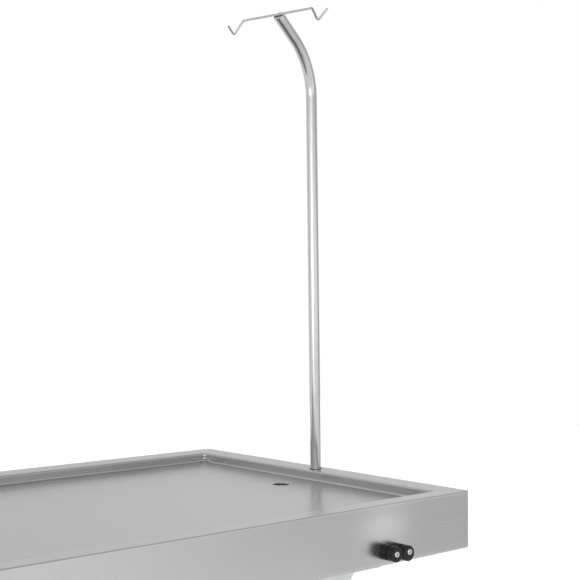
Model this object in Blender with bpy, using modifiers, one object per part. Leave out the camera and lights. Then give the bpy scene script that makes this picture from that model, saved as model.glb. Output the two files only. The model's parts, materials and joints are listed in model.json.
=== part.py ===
# Veterinary treatment table: a folded stainless tray with a drip pole and rope clamps,
# carried by a foot-pumped scissor lift. Metres, +X towards the drip pole, +Y to the back, +Z up.
# The origin is on the floor under the middle of the table.
import bmesh
import bpy
from math import acos, atan2, cos, hypot, pi, radians, sin
from mathutils import Matrix, Vector

# Fits
seat_gap = 0.0003
running_gap = 0.0003
cut_overrun = 0.002
merge_distance = 0.00001

# Tray
table_length = 1.200
table_width = 0.600
apron_height = 0.080
rim_width = 0.036
basin_depth = 0.0145
floor_fall = 0.0025
sheet = 0.0015
fold_radius = 0.0020
hem_width = 0.012

# Drain
drain_bore = 0.026
drain_from_end = 0.090
drain_pipe_wall = 0.002
drain_pipe_length = 0.055
drain_flange_width = 0.012
drain_flange_thickness = 0.002

# Scissor lift
arm_span = 0.860
arm_height = 0.048
arm_thickness = 0.010
arm_gap = 0.003
rest_lift_angle = radians(56)
low_lift_angle = radians(10)
high_lift_angle = radians(62)
pivot_from_rail_end = 0.026
shaft_diameter = 0.016
shaft_overhang = 0.004
torque_tube_diameter = 0.034
cross_tube_diameter = 0.030
cross_tube_wall = 0.0025
cross_tube_from_end = 0.160
axle_diameter = 0.014
roller_width = 0.020
roller_side_gap = 0.002
pin_head_diameter = 0.026
pin_head_thickness = 0.005
pin_chamfer = 0.001

# Channel rails
rail_height = 0.050
rail_depth = 0.028
rail_wall = 0.003
rail_from_apron = 0.025
upper_rail_from_end = 0.152
base_rail_from_end = 0.100
rail_below_apron = 0.010
bearer_width = 0.040
bearer_wall = 0.002
bearer_inset = 0.030

# Base
foot_height = 0.030
foot_diameter = 0.038
foot_taper = 0.004
foot_inset = 0.030
base_cross_width = 0.030
base_cross_height = 0.025
base_cross_wall = 0.002

# Lifting ram and its cam
cam_base_radius = 0.070
cam_thickness = 0.016
cam_hub_radius = 0.030
cam_tip_width = 0.022
cam_start_length = 0.010
follower_diameter = 0.030
follower_width = 0.020
follower_journal = 0.012
follower_side_gap = 0.0005
rod_diameter = 0.028
fork_wall = 0.008
fork_height = 0.030
fork_root = 0.016
fork_room = 0.002
fork_lip = 0.004
rod_sink = 0.008
ram_diameter = 0.056
ram_bore = 0.044
ram_length = 0.192
ram_end_wall = 0.012
piston_length = 0.024
piston_reserve = 0.030
saddle_wrap_angle = radians(48)
saddle_lip = 0.004
saddle_length = 0.040
saddle_sink = 0.001

# Foot pump
pump_width = 0.056
pump_back = 0.060
pump_front = 0.020
pump_bottom = 0.034
pump_top = 0.096
lug_half_width = 0.014
pedal_pivot_back = 0.040
pedal_pivot_rise = 0.016
pedal_slot_gap = 0.0005
pedal_width = 0.030
pedal_boss_radius = 0.012
pedal_bar_height = 0.010
pedal_reach = 0.330
pedal_rise_angle = radians(5)
pedal_tread_length = 0.070
pedal_tread_width = 0.056
pedal_tread_thickness = 0.006
pedal_pin_diameter = 0.010
plunger_diameter = 0.014
plunger_from_pivot = 0.040
plunger_length = 0.040
plunger_bore_depth = 0.042
plunger_top_gap = 0.0012
plunger_chamfer = 0.002
pipe_diameter = 0.008
pipe_bend_radius = 0.020
pipe_side = 0.040
pipe_height = 0.084
pipe_behind_ram = 0.030

# Drip pole and its socket
pole_diameter = 0.0170
pole_wall = 0.0015
pole_from_end = 0.0175
pole_straight = 0.585
pole_bend_radius = 0.112
pole_bend_angle = radians(51.5)
pole_tail = 0.048
pole_lean = radians(1.09)
pole_turn = radians(9.8)
pole_fit = 0.0003
socket_depth = 0.070
socket_wall = 0.002
socket_floor = 0.003
socket_top_drop = 0.0006
bush_wall = 0.0014
bush_floor = 0.002
bush_fit = 0.0003

# Hook bar
wire_diameter = 0.0036
bar_length = 0.1347
hook_valley_out = 0.0152
hook_valley_drop = 0.0225
hook_tip_out = 0.0303
hook_tip_drop = 0.0049
hook_tilt = radians(14.9)
hook_bend_radius = 0.0035
bar_offset = 0.0017

# Rope clamps
clamp_from_end = 0.170
clamp_spacing = 0.0242
clamp_below_rim = 0.0622
clamp_diameter = 0.0206
clamp_rear_length = 0.009
clamp_groove_length = 0.003
clamp_groove_depth = 0.0016
clamp_length = 0.0220
clamp_edge = 0.0012
cam_offset = 0.00265
cam_offset_angle = radians(217)
clamp_screw_diameter = 0.005
clamp_head_diameter = 0.0085
clamp_head_height = 0.005
clamp_hex_width = 0.004
clamp_hex_depth = 0.0025
clamp_head_proud = 0.0005
clamp_screw_inside = 0.008
clamp_nut_diameter = 0.010
clamp_nut_height = 0.004
clamp_screw_fit = 0.0003
clamp_head_fit = 0.0003

# Facets of the round pieces
fine_sides = 20
plain_sides = 16
small_sides = 10
hex_sides = 6
arc_steps = 8
bend_steps = 10
hook_steps = 4
pole_resolution = 4
wire_resolution = 2

# Levels and places that follow from the sizes above
upper_rail_length = table_length - 2 * upper_rail_from_end
base_rail_length = table_length - 2 * base_rail_from_end
lower_pivot_z = foot_height + rail_height / 2
upper_pivot_z = lower_pivot_z + arm_span * sin(rest_lift_angle)
upper_rail_bottom_z = upper_pivot_z - rail_height / 2
upper_rail_top_z = upper_pivot_z + rail_height / 2
apron_bottom_z = upper_rail_bottom_z + rail_below_apron
rim_top_z = apron_bottom_z + apron_height
basin_floor_z = rim_top_z - basin_depth
drain_level_z = basin_floor_z - floor_fall
fixed_pivot_x = upper_rail_length / 2 - pivot_from_rail_end
roller_x = fixed_pivot_x - arm_span * cos(rest_lift_angle)
centre_x = (fixed_pivot_x + roller_x) / 2
centre_z = (lower_pivot_z + upper_pivot_z) / 2
rail_outer_y = table_width / 2 - rail_from_apron
rail_inner_y = rail_outer_y - rail_depth
outer_arm_y = rail_inner_y - arm_gap - arm_thickness / 2
inner_arm_y = outer_arm_y - arm_thickness - arm_gap
roller_y = rail_outer_y - rail_wall - roller_side_gap - roller_width / 2
roller_radius = rail_height / 2 - rail_wall - running_gap
drain_x = table_length / 2 - drain_from_end
pole_x = table_length / 2 - pole_from_end
base_end_x = base_rail_length / 2
base_cross_length = 2 * (rail_outer_y - rail_wall - seat_gap)
ram_z = lower_pivot_z + cam_base_radius
cam_rest_length = cam_start_length + cam_base_radius * (high_lift_angle - rest_lift_angle)
cam_low_length = cam_start_length + cam_base_radius * (high_lift_angle - low_lift_angle)
follower_x = fixed_pivot_x - cam_rest_length - follower_diameter / 2 - running_gap
ram_travel_in = cam_base_radius * (rest_lift_angle - low_lift_angle)
ram_travel_out = cam_base_radius * (high_lift_angle - rest_lift_angle)
fork_back = follower_diameter / 2 + fork_room + fork_root
ram_front_x = follower_x - ram_travel_in - fork_back - fork_room
ram_middle_x = ram_front_x - ram_length / 2
pump_x = base_end_x + seat_gap + pump_width / 2
pedal_pivot_z = pump_top + pedal_pivot_rise
clamp_z = rim_top_z - clamp_below_rim
socket_bore = pole_diameter / 2 + pole_fit + bush_wall + bush_fit

colours = {
    "stainless": ((0.60, 0.60, 0.60), 0.32, 1.0),
    "painted": ((0.78, 0.79, 0.79), 0.45, 0.0),
    "zinc": ((0.56, 0.57, 0.58), 0.38, 1.0),
    "black_plastic": ((0.02, 0.02, 0.02), 0.45, 0.0),
    "rubber": ((0.03, 0.03, 0.03), 0.80, 0.0),
    "polished": ((0.75, 0.75, 0.75), 0.15, 1.0),
}


def clear_scene():
    for old in list(bpy.data.objects):
        bpy.data.objects.remove(old, do_unlink=True)


def make_collection(name):
    group = bpy.data.collections.new(name)
    bpy.context.scene.collection.children.link(group)
    return group


clear_scene()
parts = make_collection("veterinary_treatment_table")
cutters = make_collection("cutters")


def paint(thing, finish):
    colour, roughness, metallic = colours[finish]
    material = bpy.data.materials.new(thing.name)
    material.use_nodes = True
    shader = material.node_tree.nodes["Principled BSDF"]
    shader.inputs["Base Color"].default_value = (*colour, 1.0)
    shader.inputs["Roughness"].default_value = roughness
    shader.inputs["Metallic"].default_value = metallic
    thing.data.materials.append(material)


def place(thing, where, turn=(0, 0, 0), parent=None):
    thing.location = where
    thing.rotation_euler = turn
    if parent:
        thing.parent = parent
    return thing


def pivot(name, where, turn=(0, 0, 0), parent=None):
    empty = bpy.data.objects.new(name, None)
    parts.objects.link(empty)
    return place(empty, where, turn, parent)


def mesh_object(name, bm, group):
    mesh = bpy.data.meshes.new(name)
    bm.normal_update()
    bm.to_mesh(mesh)
    bm.free()
    thing = bpy.data.objects.new(name, mesh)
    group.objects.link(thing)
    return thing


def shade_round(thing):
    thing.data.shade_smooth()
    thing.data.set_sharp_from_angle(angle=radians(35))


def box(name, size, group):
    bm = bmesh.new()
    bmesh.ops.create_cube(bm, size=1.0, matrix=Matrix.Diagonal((*size, 1.0)))
    return mesh_object(name, bm, group)


def cylinder(name, radius, length, sides, group):
    bm = bmesh.new()
    bmesh.ops.create_cone(bm, cap_ends=True, segments=sides, radius1=radius, radius2=radius, depth=length)
    return mesh_object(name, bm, group)


def turned(name, profile, sides, group, offset=0.0):
    # Profile of (radius, height) pairs, down the outer side from the top.
    bm = bmesh.new()
    corners = [bm.verts.new((radius + offset, 0, height)) for radius, height in profile]
    for first, second in zip(corners, corners[1:]):
        bm.edges.new((first, second))
    thing = mesh_object(name, bm, group)
    screw = thing.modifiers.new("turn", "SCREW")
    screw.steps = sides
    screw.render_steps = sides
    screw.use_merge_vertices = True
    screw.merge_threshold = merge_distance
    return thing


def ring(name, outer_radius, inner_radius, length, sides, group, chamfer=0.0):
    half = length / 2
    profile = [
        (inner_radius, half),
        (outer_radius - chamfer, half),
        (outer_radius, half - chamfer),
        (outer_radius, chamfer - half),
        (outer_radius - chamfer, -half),
        (inner_radius, -half),
        (inner_radius, half),
    ]
    if not chamfer:
        profile = [profile[0], profile[2], profile[3], profile[5], profile[6]]
    return turned(name, profile, sides, group)


def rod_profile(radius, length, chamfer):
    half = length / 2
    return [(0, half), (radius - chamfer, half), (radius, half - chamfer),
            (radius, chamfer - half), (radius - chamfer, -half), (0, -half)]


def circle_points(radius, centre, sides):
    return [(centre[0] + radius * cos(2 * pi * step / sides), centre[1] + radius * sin(2 * pi * step / sides))
            for step in range(sides)]


def arc_points(radius, centre, start, end, steps):
    return [(centre[0] + radius * cos(start + (end - start) * step / steps),
             centre[1] + radius * sin(start + (end - start) * step / steps)) for step in range(steps + 1)]


def plate(name, outlines, thickness, group):
    # A flat outline with holes, extruded to both sides of its own plane and made a mesh.
    curve = bpy.data.curves.new(name, "CURVE")
    curve.dimensions = "2D"
    curve.fill_mode = "BOTH"
    curve.extrude = thickness / 2
    for outline in outlines:
        spline = curve.splines.new("POLY")
        spline.points.add(len(outline[1:]))
        for point, (across, along) in zip(spline.points, outline):
            point.co = (across, along, 0, 1)
        spline.use_cyclic_u = True
    return meshed(name, curve, group)


def wire(name, points, diameter, resolution, group, capped=True):
    curve = bpy.data.curves.new(name, "CURVE")
    curve.dimensions = "3D"
    curve.bevel_depth = diameter / 2
    curve.bevel_resolution = resolution
    curve.use_fill_caps = capped
    spline = curve.splines.new("POLY")
    spline.points.add(len(points[1:]))
    for point, where in zip(spline.points, points):
        point.co = (*where, 1)
    return meshed(name, curve, group)


def meshed(name, curve, group):
    shape = bpy.data.objects.new(name + "_curve", curve)
    group.objects.link(shape)
    bpy.context.view_layer.update()
    graph = bpy.context.evaluated_depsgraph_get()
    mesh = bpy.data.meshes.new_from_object(shape.evaluated_get(graph))
    bm = bmesh.new()
    bm.from_mesh(mesh)
    bmesh.ops.remove_doubles(bm, verts=bm.verts, dist=merge_distance)
    bmesh.ops.recalc_face_normals(bm, faces=bm.faces)
    bm.to_mesh(mesh)
    bm.free()
    mesh.name = name
    thing = bpy.data.objects.new(name, mesh)
    thing.matrix_world = shape.matrix_world
    group.objects.link(thing)
    bpy.data.objects.remove(shape, do_unlink=True)
    bpy.data.curves.remove(curve)
    return thing


def cut(thing, cutter, operation="DIFFERENCE"):
    cutter.hide_render = True
    cutter.display_type = "WIRE"
    change = thing.modifiers.new(cutter.name, "BOOLEAN")
    change.operation = operation
    change.object = cutter


def drill(thing, name, radius, length, where, turn=(0, 0, 0), parent=None, sides=plain_sides):
    cutter = cylinder(name, radius, length, sides, cutters)
    place(cutter, where, turn, parent)
    cut(thing, cutter)


def rounded_path(corners, radius, steps):
    # The corners joined by straight runs, each inner corner replaced by an arc of the radius.
    path = [Vector(corners[0])]
    for before, corner, after in zip(corners, corners[1:], corners[2:]):
        corner = Vector(corner)
        inward = (Vector(before) - corner).normalized()
        outward = (Vector(after) - corner).normalized()
        half = inward.angle(outward) / 2
        reach = radius * cos(half) / sin(half)
        middle = (inward + outward).normalized()
        centre = corner + middle * radius / sin(half)
        start = corner + inward * reach - centre
        end = corner + outward * reach - centre
        for step in range(steps + 1):
            path.append(centre + start.normalized().slerp(end.normalized(), step / steps) * radius)
    path.append(Vector(corners[-1]))
    return path


def square_tube(name, width, height, wall, length, group):
    # A hollow section along its own Z, open at both ends.
    across = width / 2
    up = height / 2
    outer = [(-across, -up), (across, -up), (across, up), (-across, up)]
    inner = [(-width / 2 + wall, -height / 2 + wall), (width / 2 - wall, -height / 2 + wall),
             (width / 2 - wall, height / 2 - wall), (-width / 2 + wall, height / 2 - wall)]
    return plate(name, [outer, inner], length, group)


along_y = (pi / 2, 0, 0)
along_x = (pi / 2, 0, pi / 2)
side_names = ((-1, "front"), (1, "back"))
end_names = ((1, "pole_end"), (-1, "foot_end"))

base_frame = pivot("base_frame", (0, 0, 0))
inner_arms = pivot("inner_arms", (fixed_pivot_x, 0, lower_pivot_z))
outer_arms = pivot("outer_arms", (centre_x, 0, centre_z))
top_frame = pivot("top_frame", (fixed_pivot_x, 0, upper_pivot_z))
top_origin = pivot("top_origin", (-fixed_pivot_x, 0, -upper_pivot_z), parent=top_frame)
ram_slide = pivot("ram_slide", (follower_x, 0, ram_z))
pedal_axis = pivot("pedal_axis", (pump_x, pedal_pivot_back, pedal_pivot_z), (-pedal_rise_angle, 0, 0))
stand = pivot("drip_stand", (pole_x, 0, rim_top_z), (0, -pole_lean, pole_turn), top_origin)


def clamp_places():
    for side, side_name in side_names:
        for end, end_name in end_names:
            fixed_x = end * (table_length / 2 - clamp_from_end)
            cam_x = fixed_x + end * clamp_spacing
            yield side, end, side_name + "_" + end_name, fixed_x, cam_x


def make_table_top():
    half_length = table_length / 2
    half_width = table_width / 2
    bm = bmesh.new()
    # Rings of the folded sheet, from the hem under the apron up over the rim and down to the floor.
    rings = [
        (hem_width, apron_bottom_z),
        (0, apron_bottom_z),
        (0, rim_top_z),
        (rim_width, rim_top_z),
        (rim_width, basin_floor_z),
    ]
    loops = []
    for inset, height in rings:
        across = half_length - inset
        deep = half_width - inset
        loops.append([bm.verts.new((x, y, height)) for x, y in
                      ((-across, -deep), (across, -deep), (across, deep), (-across, deep))])
    for lower, upper in zip(loops, loops[1:]):
        for corner in range(4):
            following = (corner + 1) % 4
            bm.faces.new((lower[corner], lower[following], upper[following], upper[corner]))
    lowest = bm.verts.new((drain_x, 0, drain_level_z))
    for corner in range(4):
        bm.faces.new((loops[-1][corner], loops[-1][(corner + 1) % 4], lowest))
    top = mesh_object("table_top", bm, parts)
    folds = top.modifiers.new("folds", "BEVEL")
    folds.width = fold_radius
    folds.segments = 2
    folds.limit_method = "ANGLE"
    folds.angle_limit = radians(30)
    wall = top.modifiers.new("wall", "SOLIDIFY")
    wall.thickness = sheet
    wall.offset = -1
    drain_hole_length = 2 * (sheet + floor_fall + cut_overrun)
    drill(top, "drain_hole", drain_bore / 2, drain_hole_length, (drain_x, 0, drain_level_z), sides=fine_sides,
          parent=top_origin)
    drill(top, "pole_hole", socket_bore, 2 * (sheet + cut_overrun), (0, 0, 0), parent=stand)
    for side, _, name, fixed_x, cam_x in clamp_places():
        for kind, x in (("fixed", fixed_x), ("cam", cam_x)):
            drill(top, kind + "_screw_hole_" + name, clamp_screw_diameter / 2 + clamp_screw_fit,
                  2 * (sheet + cut_overrun), (x, side * half_width, clamp_z),
                  along_y, top_origin, small_sides)
    top.parent = top_origin
    paint(top, "stainless")


def make_drain_pipe():
    outer = drain_bore / 2 + drain_pipe_wall
    flange = outer + drain_flange_width
    profile = [
        (drain_bore / 2, 0),
        (flange, 0),
        (flange, -drain_flange_thickness),
        (outer, -drain_flange_thickness),
        (outer, -drain_pipe_length),
        (drain_bore / 2, -drain_pipe_length),
        (drain_bore / 2, 0),
    ]
    pipe = turned("drain_pipe", profile, plain_sides, parts)
    place(pipe, (drain_x, 0, drain_level_z - sheet - seat_gap), parent=top_origin)
    shade_round(pipe)
    paint(pipe, "stainless")


def channel_outline():
    # Open towards +X of its own plane: the web is at the left.
    top = rail_height / 2
    return [(0, -top), (rail_depth, -top), (rail_depth, rail_wall - top), (rail_wall, rail_wall - top),
            (rail_wall, top - rail_wall), (rail_depth, top - rail_wall), (rail_depth, top), (0, top)]


def make_rail(name, side, length, middle_z, pivot_z, parent):
    rail = plate(name, [channel_outline()], length, parts)
    # The web is outermost, and the channel opens towards the middle of the table.
    turn = (pi / 2, 0, -side * pi / 2)
    place(rail, (0, side * rail_outer_y, middle_z), turn, parent)
    drill(rail, name + "_shaft_hole", shaft_diameter / 2 + running_gap, 2 * (rail_wall + cut_overrun),
          (fixed_pivot_x, side * rail_outer_y, pivot_z), along_y, parent)
    paint(rail, "painted")


def make_bearers():
    # Each reaches up to the sloping floor at its own place along the tray.
    slope = floor_fall / (drain_x + table_length / 2 - rim_width)
    places = (("pole_end", 1), ("middle", 0), ("foot_end", -1))
    for name, end in places:
        x = end * (upper_rail_length / 2 - bearer_inset)
        top_z = drain_level_z + slope * (drain_x - x - bearer_width / 2) - sheet - seat_gap
        height = top_z - upper_rail_top_z - seat_gap
        bearer = square_tube("bearer_" + name, bearer_width, height, bearer_wall, 2 * rail_outer_y, parts)
        place(bearer, (x, 0, top_z - height / 2), along_y, top_origin)
        paint(bearer, "painted")


def make_shaft(name, where, parent):
    length = 2 * (rail_outer_y + shaft_overhang)
    shaft = turned(name, rod_profile(shaft_diameter / 2, length, pin_chamfer), plain_sides, parts)
    place(shaft, where, along_y, parent)
    shade_round(shaft)
    paint(shaft, "zinc")


def make_arm(name, side, y, slope, axle_end, parent):
    # The arm runs through the centre of its own frame: slope 1 rises towards +X, -1 towards -X.
    half = arm_span / 2
    radius = arm_height / 2
    right = arc_points(radius, (half, 0), -pi / 2, pi / 2, arc_steps)
    left = arc_points(radius, (-half, 0), pi / 2, 3 * pi / 2, arc_steps)
    holes = [circle_points(shaft_diameter / 2 + running_gap, (-axle_end * half, 0), plain_sides),
             circle_points(axle_diameter / 2 + running_gap, (0, 0), plain_sides)]
    arm = plate(name, [right + left, *holes], arm_thickness, parts)
    centre = Vector((centre_x, side * y, centre_z)) - parent.location
    place(arm, centre, (pi / 2, -slope * rest_lift_angle, 0), parent)
    length = roller_y + roller_width / 2 - y + arm_thickness / 2 - cut_overrun
    stub = cylinder(name + "_axle", axle_diameter / 2, length, plain_sides, cutters)
    stub_y = side * (roller_y + roller_width / 2 - length / 2)
    reach = axle_end * half
    end = Vector((centre_x + reach * cos(rest_lift_angle), stub_y,
                  centre_z + reach * slope * sin(rest_lift_angle))) - parent.location
    place(stub, end, along_y, parent)
    cut(arm, stub, "UNION")
    paint(arm, "painted")


def make_cross_tube(name, diameter, bore, half_length, where, parent):
    tube = ring(name, diameter / 2, bore / 2, 2 * half_length, plain_sides, parts)
    place(tube, where, along_y, parent)
    shade_round(tube)
    paint(tube, "painted")


def on_arm(from_end, slope, parent):
    # A point on an arm's line, measured from its roller end, in the parent's frame.
    reach = arm_span / 2 - from_end
    x = centre_x - reach * cos(rest_lift_angle)
    z = centre_z - reach * slope * sin(rest_lift_angle)
    return Vector((x, 0, z)) - parent.location


def make_arms():
    for side, side_name in side_names:
        make_arm("inner_arm_" + side_name, side, inner_arm_y, -1, -1, inner_arms)
        make_arm("outer_arm_" + side_name, side, outer_arm_y, 1, -1, outer_arms)
    inside_inner = inner_arm_y - arm_thickness / 2 - seat_gap
    inside_outer = outer_arm_y - arm_thickness / 2 - seat_gap
    bore = shaft_diameter + 2 * running_gap
    tube_bore = cross_tube_diameter - 2 * cross_tube_wall
    make_cross_tube("lower_torque_tube", torque_tube_diameter, bore, inside_inner, (0, 0, 0), inner_arms)
    make_cross_tube("inner_cross_tube", cross_tube_diameter, tube_bore, inside_inner,
                    on_arm(cross_tube_from_end, -1, inner_arms), inner_arms)
    upper_pivot = Vector((fixed_pivot_x, 0, upper_pivot_z)) - outer_arms.location
    make_cross_tube("upper_torque_tube", torque_tube_diameter, bore, inside_outer, upper_pivot, outer_arms)
    make_cross_tube("outer_cross_tube", cross_tube_diameter, tube_bore, inside_outer,
                    on_arm(cross_tube_from_end, 1, outer_arms), outer_arms)


def make_centre_pins():
    outside = outer_arm_y + arm_thickness / 2 + seat_gap
    inside = inner_arm_y - arm_thickness / 2 - seat_gap
    head = pin_head_diameter / 2
    shank = axle_diameter / 2
    profile = [
        (0, pin_head_thickness),
        (head - pin_chamfer, pin_head_thickness),
        (head, pin_head_thickness - pin_chamfer),
        (head, 0),
        (shank, 0),
        (shank, inside - outside),
        (head, inside - outside),
        (head, inside - outside - pin_head_thickness + pin_chamfer),
        (head - pin_chamfer, inside - outside - pin_head_thickness),
        (0, inside - outside - pin_head_thickness),
    ]
    centre = Vector((centre_x, 0, centre_z)) - inner_arms.location
    for side, side_name in side_names:
        pin = turned("centre_pin_" + side_name, profile, plain_sides, parts)
        place(pin, centre + Vector((0, side * outside, 0)), (-side * pi / 2, 0, 0), inner_arms)
        shade_round(pin)
        paint(pin, "zinc")


def make_rollers():
    bore = axle_diameter / 2 + running_gap
    lower = Vector((roller_x, 0, lower_pivot_z)) - outer_arms.location
    upper = Vector((roller_x, 0, upper_pivot_z)) - inner_arms.location
    for side, side_name in side_names:
        for level, where, parent in (("lower", lower, outer_arms), ("upper", upper, inner_arms)):
            name = level + "_roller_" + side_name
            roller = ring(name, roller_radius, bore, roller_width, fine_sides, parts, pin_chamfer)
            place(roller, where + Vector((0, side * roller_y, 0)), along_y, parent)
            shade_round(roller)
            paint(roller, "black_plastic")


def make_base():
    for side, side_name in side_names:
        make_rail("base_rail_" + side_name, side, base_rail_length, lower_pivot_z, lower_pivot_z, base_frame)
    cross_z = foot_height + rail_wall + seat_gap + base_cross_height / 2
    cross_x = base_end_x - base_cross_width / 2
    for end, end_name in end_names:
        cross = square_tube("base_cross_" + end_name, base_cross_width, base_cross_height, base_cross_wall,
                            base_cross_length, parts)
        place(cross, (end * cross_x, 0, cross_z), along_y, base_frame)
        paint(cross, "painted")
    foot_y = rail_outer_y - rail_depth / 2
    foot_x = base_end_x - foot_inset
    foot_length = foot_height - seat_gap
    foot_radius = foot_diameter / 2
    profile = [(0, foot_length), (foot_radius, foot_length), (foot_radius - foot_taper, 0), (0, 0)]
    for side, side_name in side_names:
        for end, end_name in end_names:
            foot = turned("rubber_foot_" + side_name + "_" + end_name, profile, plain_sides, parts)
            place(foot, (end * foot_x, side * foot_y, 0), parent=base_frame)
            shade_round(foot)
            paint(foot, "rubber")


def make_ram_cylinder():
    # From the bore's floor up the bore, out through the gland and down the outside.
    outer = ram_diameter / 2
    bore = ram_bore / 2
    gland = rod_diameter / 2 + running_gap
    profile = [
        (0, ram_end_wall - ram_length),
        (bore, ram_end_wall - ram_length),
        (bore, -ram_end_wall),
        (gland, -ram_end_wall),
        (gland, 0),
        (outer - pin_chamfer, 0),
        (outer, -pin_chamfer),
        (outer, pin_chamfer - ram_length),
        (outer - pin_chamfer, -ram_length),
        (0, -ram_length),
    ]
    body = turned("ram_cylinder", profile, fine_sides, parts)
    place(body, (ram_front_x, 0, ram_z), (0, pi / 2, 0), base_frame)
    shade_round(body)
    paint(body, "black_plastic")


def make_ram_saddle():
    # A cradle under the ram's middle, welded on its own cross member between the base rails.
    cross_z = foot_height + rail_wall + seat_gap + base_cross_height / 2
    cross = square_tube("ram_cross_member", base_cross_width, base_cross_height, base_cross_wall,
                        base_cross_length, parts)
    place(cross, (ram_middle_x, 0, cross_z), along_y, base_frame)
    bottom = cross_z + base_cross_height / 2 - saddle_sink - ram_z
    cradle = ram_diameter / 2 + seat_gap
    half = cradle * sin(saddle_wrap_angle) + saddle_lip
    cup = arc_points(cradle, (0, 0), -pi / 2 + saddle_wrap_angle, -pi / 2 - saddle_wrap_angle, arc_steps)
    outline = [(-half, bottom), (half, bottom), (half, cup[0][1]), *cup, (-half, cup[-1][1])]
    saddle = plate("saddle", [outline], saddle_length, cutters)
    place(saddle, (ram_middle_x, 0, ram_z), along_x, base_frame)
    cut(cross, saddle, "UNION")
    paint(cross, "painted")


def make_ram_rod():
    # Measured back from the follower's axis: the fork, the rod and the piston in the cylinder.
    front = ram_front_x - follower_x
    piston_front = front - ram_end_wall - piston_reserve - ram_travel_out
    piston_back = piston_front - piston_length
    piston = ram_bore / 2 - running_gap
    radius = rod_diameter / 2
    root = -fork_back + rod_sink
    profile = [(0, root), (radius, root), (radius, piston_front), (piston, piston_front),
               (piston, piston_back), (0, piston_back)]
    rod = turned("ram_rod", profile, fine_sides, parts)
    place(rod, (0, 0, 0), (0, pi / 2, 0), ram_slide)
    slot = follower_width / 2 + follower_side_gap
    side = slot + fork_wall
    lip = follower_journal / 2 + fork_lip
    floor = -(follower_diameter / 2 + fork_room)
    outline = [(-fork_back, -side), (lip, -side), (lip, -slot), (floor, -slot),
               (floor, slot), (lip, slot), (lip, side), (-fork_back, side)]
    fork = plate("fork", [outline], fork_height, cutters)
    place(fork, (0, 0, 0), parent=ram_slide)
    cut(rod, fork, "UNION")
    drill(rod, "journal_hole", follower_journal / 2 + running_gap, 2 * (side + cut_overrun), (0, 0, 0),
          along_y, ram_slide)
    shade_round(rod)
    paint(rod, "polished")
    journal = follower_journal / 2
    wheel = follower_diameter / 2
    half = follower_width / 2
    profile = [(0, side), (journal, side), (journal, half), (wheel, half), (wheel, -half),
               (journal, -half), (journal, -side), (0, -side)]
    follower = turned("cam_follower", profile, fine_sides, parts)
    place(follower, (0, 0, 0), along_y, ram_slide)
    shade_round(follower)
    paint(follower, "zinc")


def make_lifting_cam():
    # The flank is the involute of the base circle, so that the push stays in line with the ram
    # and the lift angle is proportional to its stroke. Length 0 is on the base circle.
    def involute(length):
        angle = pi / 2 + (cam_rest_length - length) / cam_base_radius
        return (cam_base_radius * cos(angle) - length * sin(angle),
                cam_base_radius * sin(angle) + length * cos(angle))

    longest = cam_low_length + fork_room
    flank = [involute(longest * step / bend_steps) for step in range(bend_steps + 1)]
    start_angle = pi / 2 + cam_rest_length / cam_base_radius
    tip_angle = pi / 2 + (cam_rest_length - longest) / cam_base_radius
    heel = (flank[-1][0] + cam_tip_width * sin(tip_angle), flank[-1][1] - cam_tip_width * cos(tip_angle))
    tangent_angle = atan2(heel[1], heel[0]) - acos(cam_hub_radius / hypot(*heel))
    hub = arc_points(cam_hub_radius, (0, 0), tangent_angle, start_angle - 2 * pi, fine_sides)
    bore = circle_points(torque_tube_diameter / 2 + seat_gap, (0, 0), fine_sides)
    cam = plate("lifting_cam", [flank + [heel] + hub, bore], cam_thickness, parts)
    place(cam, (0, 0, 0), along_y, inner_arms)
    paint(cam, "painted")


def make_pump():
    outline = [(-pump_front, pump_bottom), (pump_back, pump_bottom), (pump_back, pump_top)]
    outline += [(pedal_pivot_back + lug_half_width, pump_top)]
    outline += arc_points(lug_half_width, (pedal_pivot_back, pedal_pivot_z), 0, pi, arc_steps)
    outline += [(pedal_pivot_back - lug_half_width, pump_top), (-pump_front, pump_top)]
    block = plate("pump_block", [outline], pump_width, parts)
    place(block, (pump_x, 0, 0), along_x, base_frame)
    slot_height = pedal_pivot_rise + lug_half_width + pedal_slot_gap + cut_overrun
    slot_size = (pedal_width + 2 * pedal_slot_gap, 2 * (lug_half_width + cut_overrun), slot_height)
    slot = box("pedal_slot", slot_size, cutters)
    slot_z = pump_top - pedal_slot_gap + slot_height / 2
    place(slot, (pump_x, pedal_pivot_back, slot_z), parent=base_frame)
    cut(block, slot)
    drill(block, "pedal_pin_hole", pedal_pin_diameter / 2 + running_gap, pump_width + 2 * cut_overrun,
          (pump_x, pedal_pivot_back, pedal_pivot_z), along_x, base_frame)
    bore_length = plunger_bore_depth + cut_overrun
    drill(block, "plunger_bore", plunger_diameter / 2 + running_gap, bore_length,
          (pump_x, pedal_pivot_back - plunger_from_pivot, pump_top + cut_overrun - bore_length / 2),
          parent=base_frame)
    paint(block, "zinc")


def make_pedal():
    half = pedal_bar_height / 2
    meet = atan2(half, (pedal_boss_radius ** 2 - half ** 2) ** 0.5)
    boss = arc_points(pedal_boss_radius, (0, 0), meet - pi, pi - meet, fine_sides)
    outline = boss + [(-pedal_reach, half), (-pedal_reach, -half)]
    pedal = plate("pump_pedal", [outline], pedal_width, parts)
    place(pedal, (0, 0, 0), along_x, pedal_axis)
    tread = box("tread", (pedal_tread_width, pedal_tread_length, pedal_tread_thickness), cutters)
    tread_z = half + pedal_tread_thickness / 2 - cut_overrun
    place(tread, (0, pedal_tread_length / 2 - pedal_reach - cut_overrun, tread_z), parent=pedal_axis)
    cut(pedal, tread, "UNION")
    pin = cylinder("pedal_pin", pedal_pin_diameter / 2, pump_width, plain_sides, cutters)
    place(pin, (0, 0, 0), along_x, pedal_axis)
    cut(pedal, pin, "UNION")
    paint(pedal, "painted")


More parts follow.
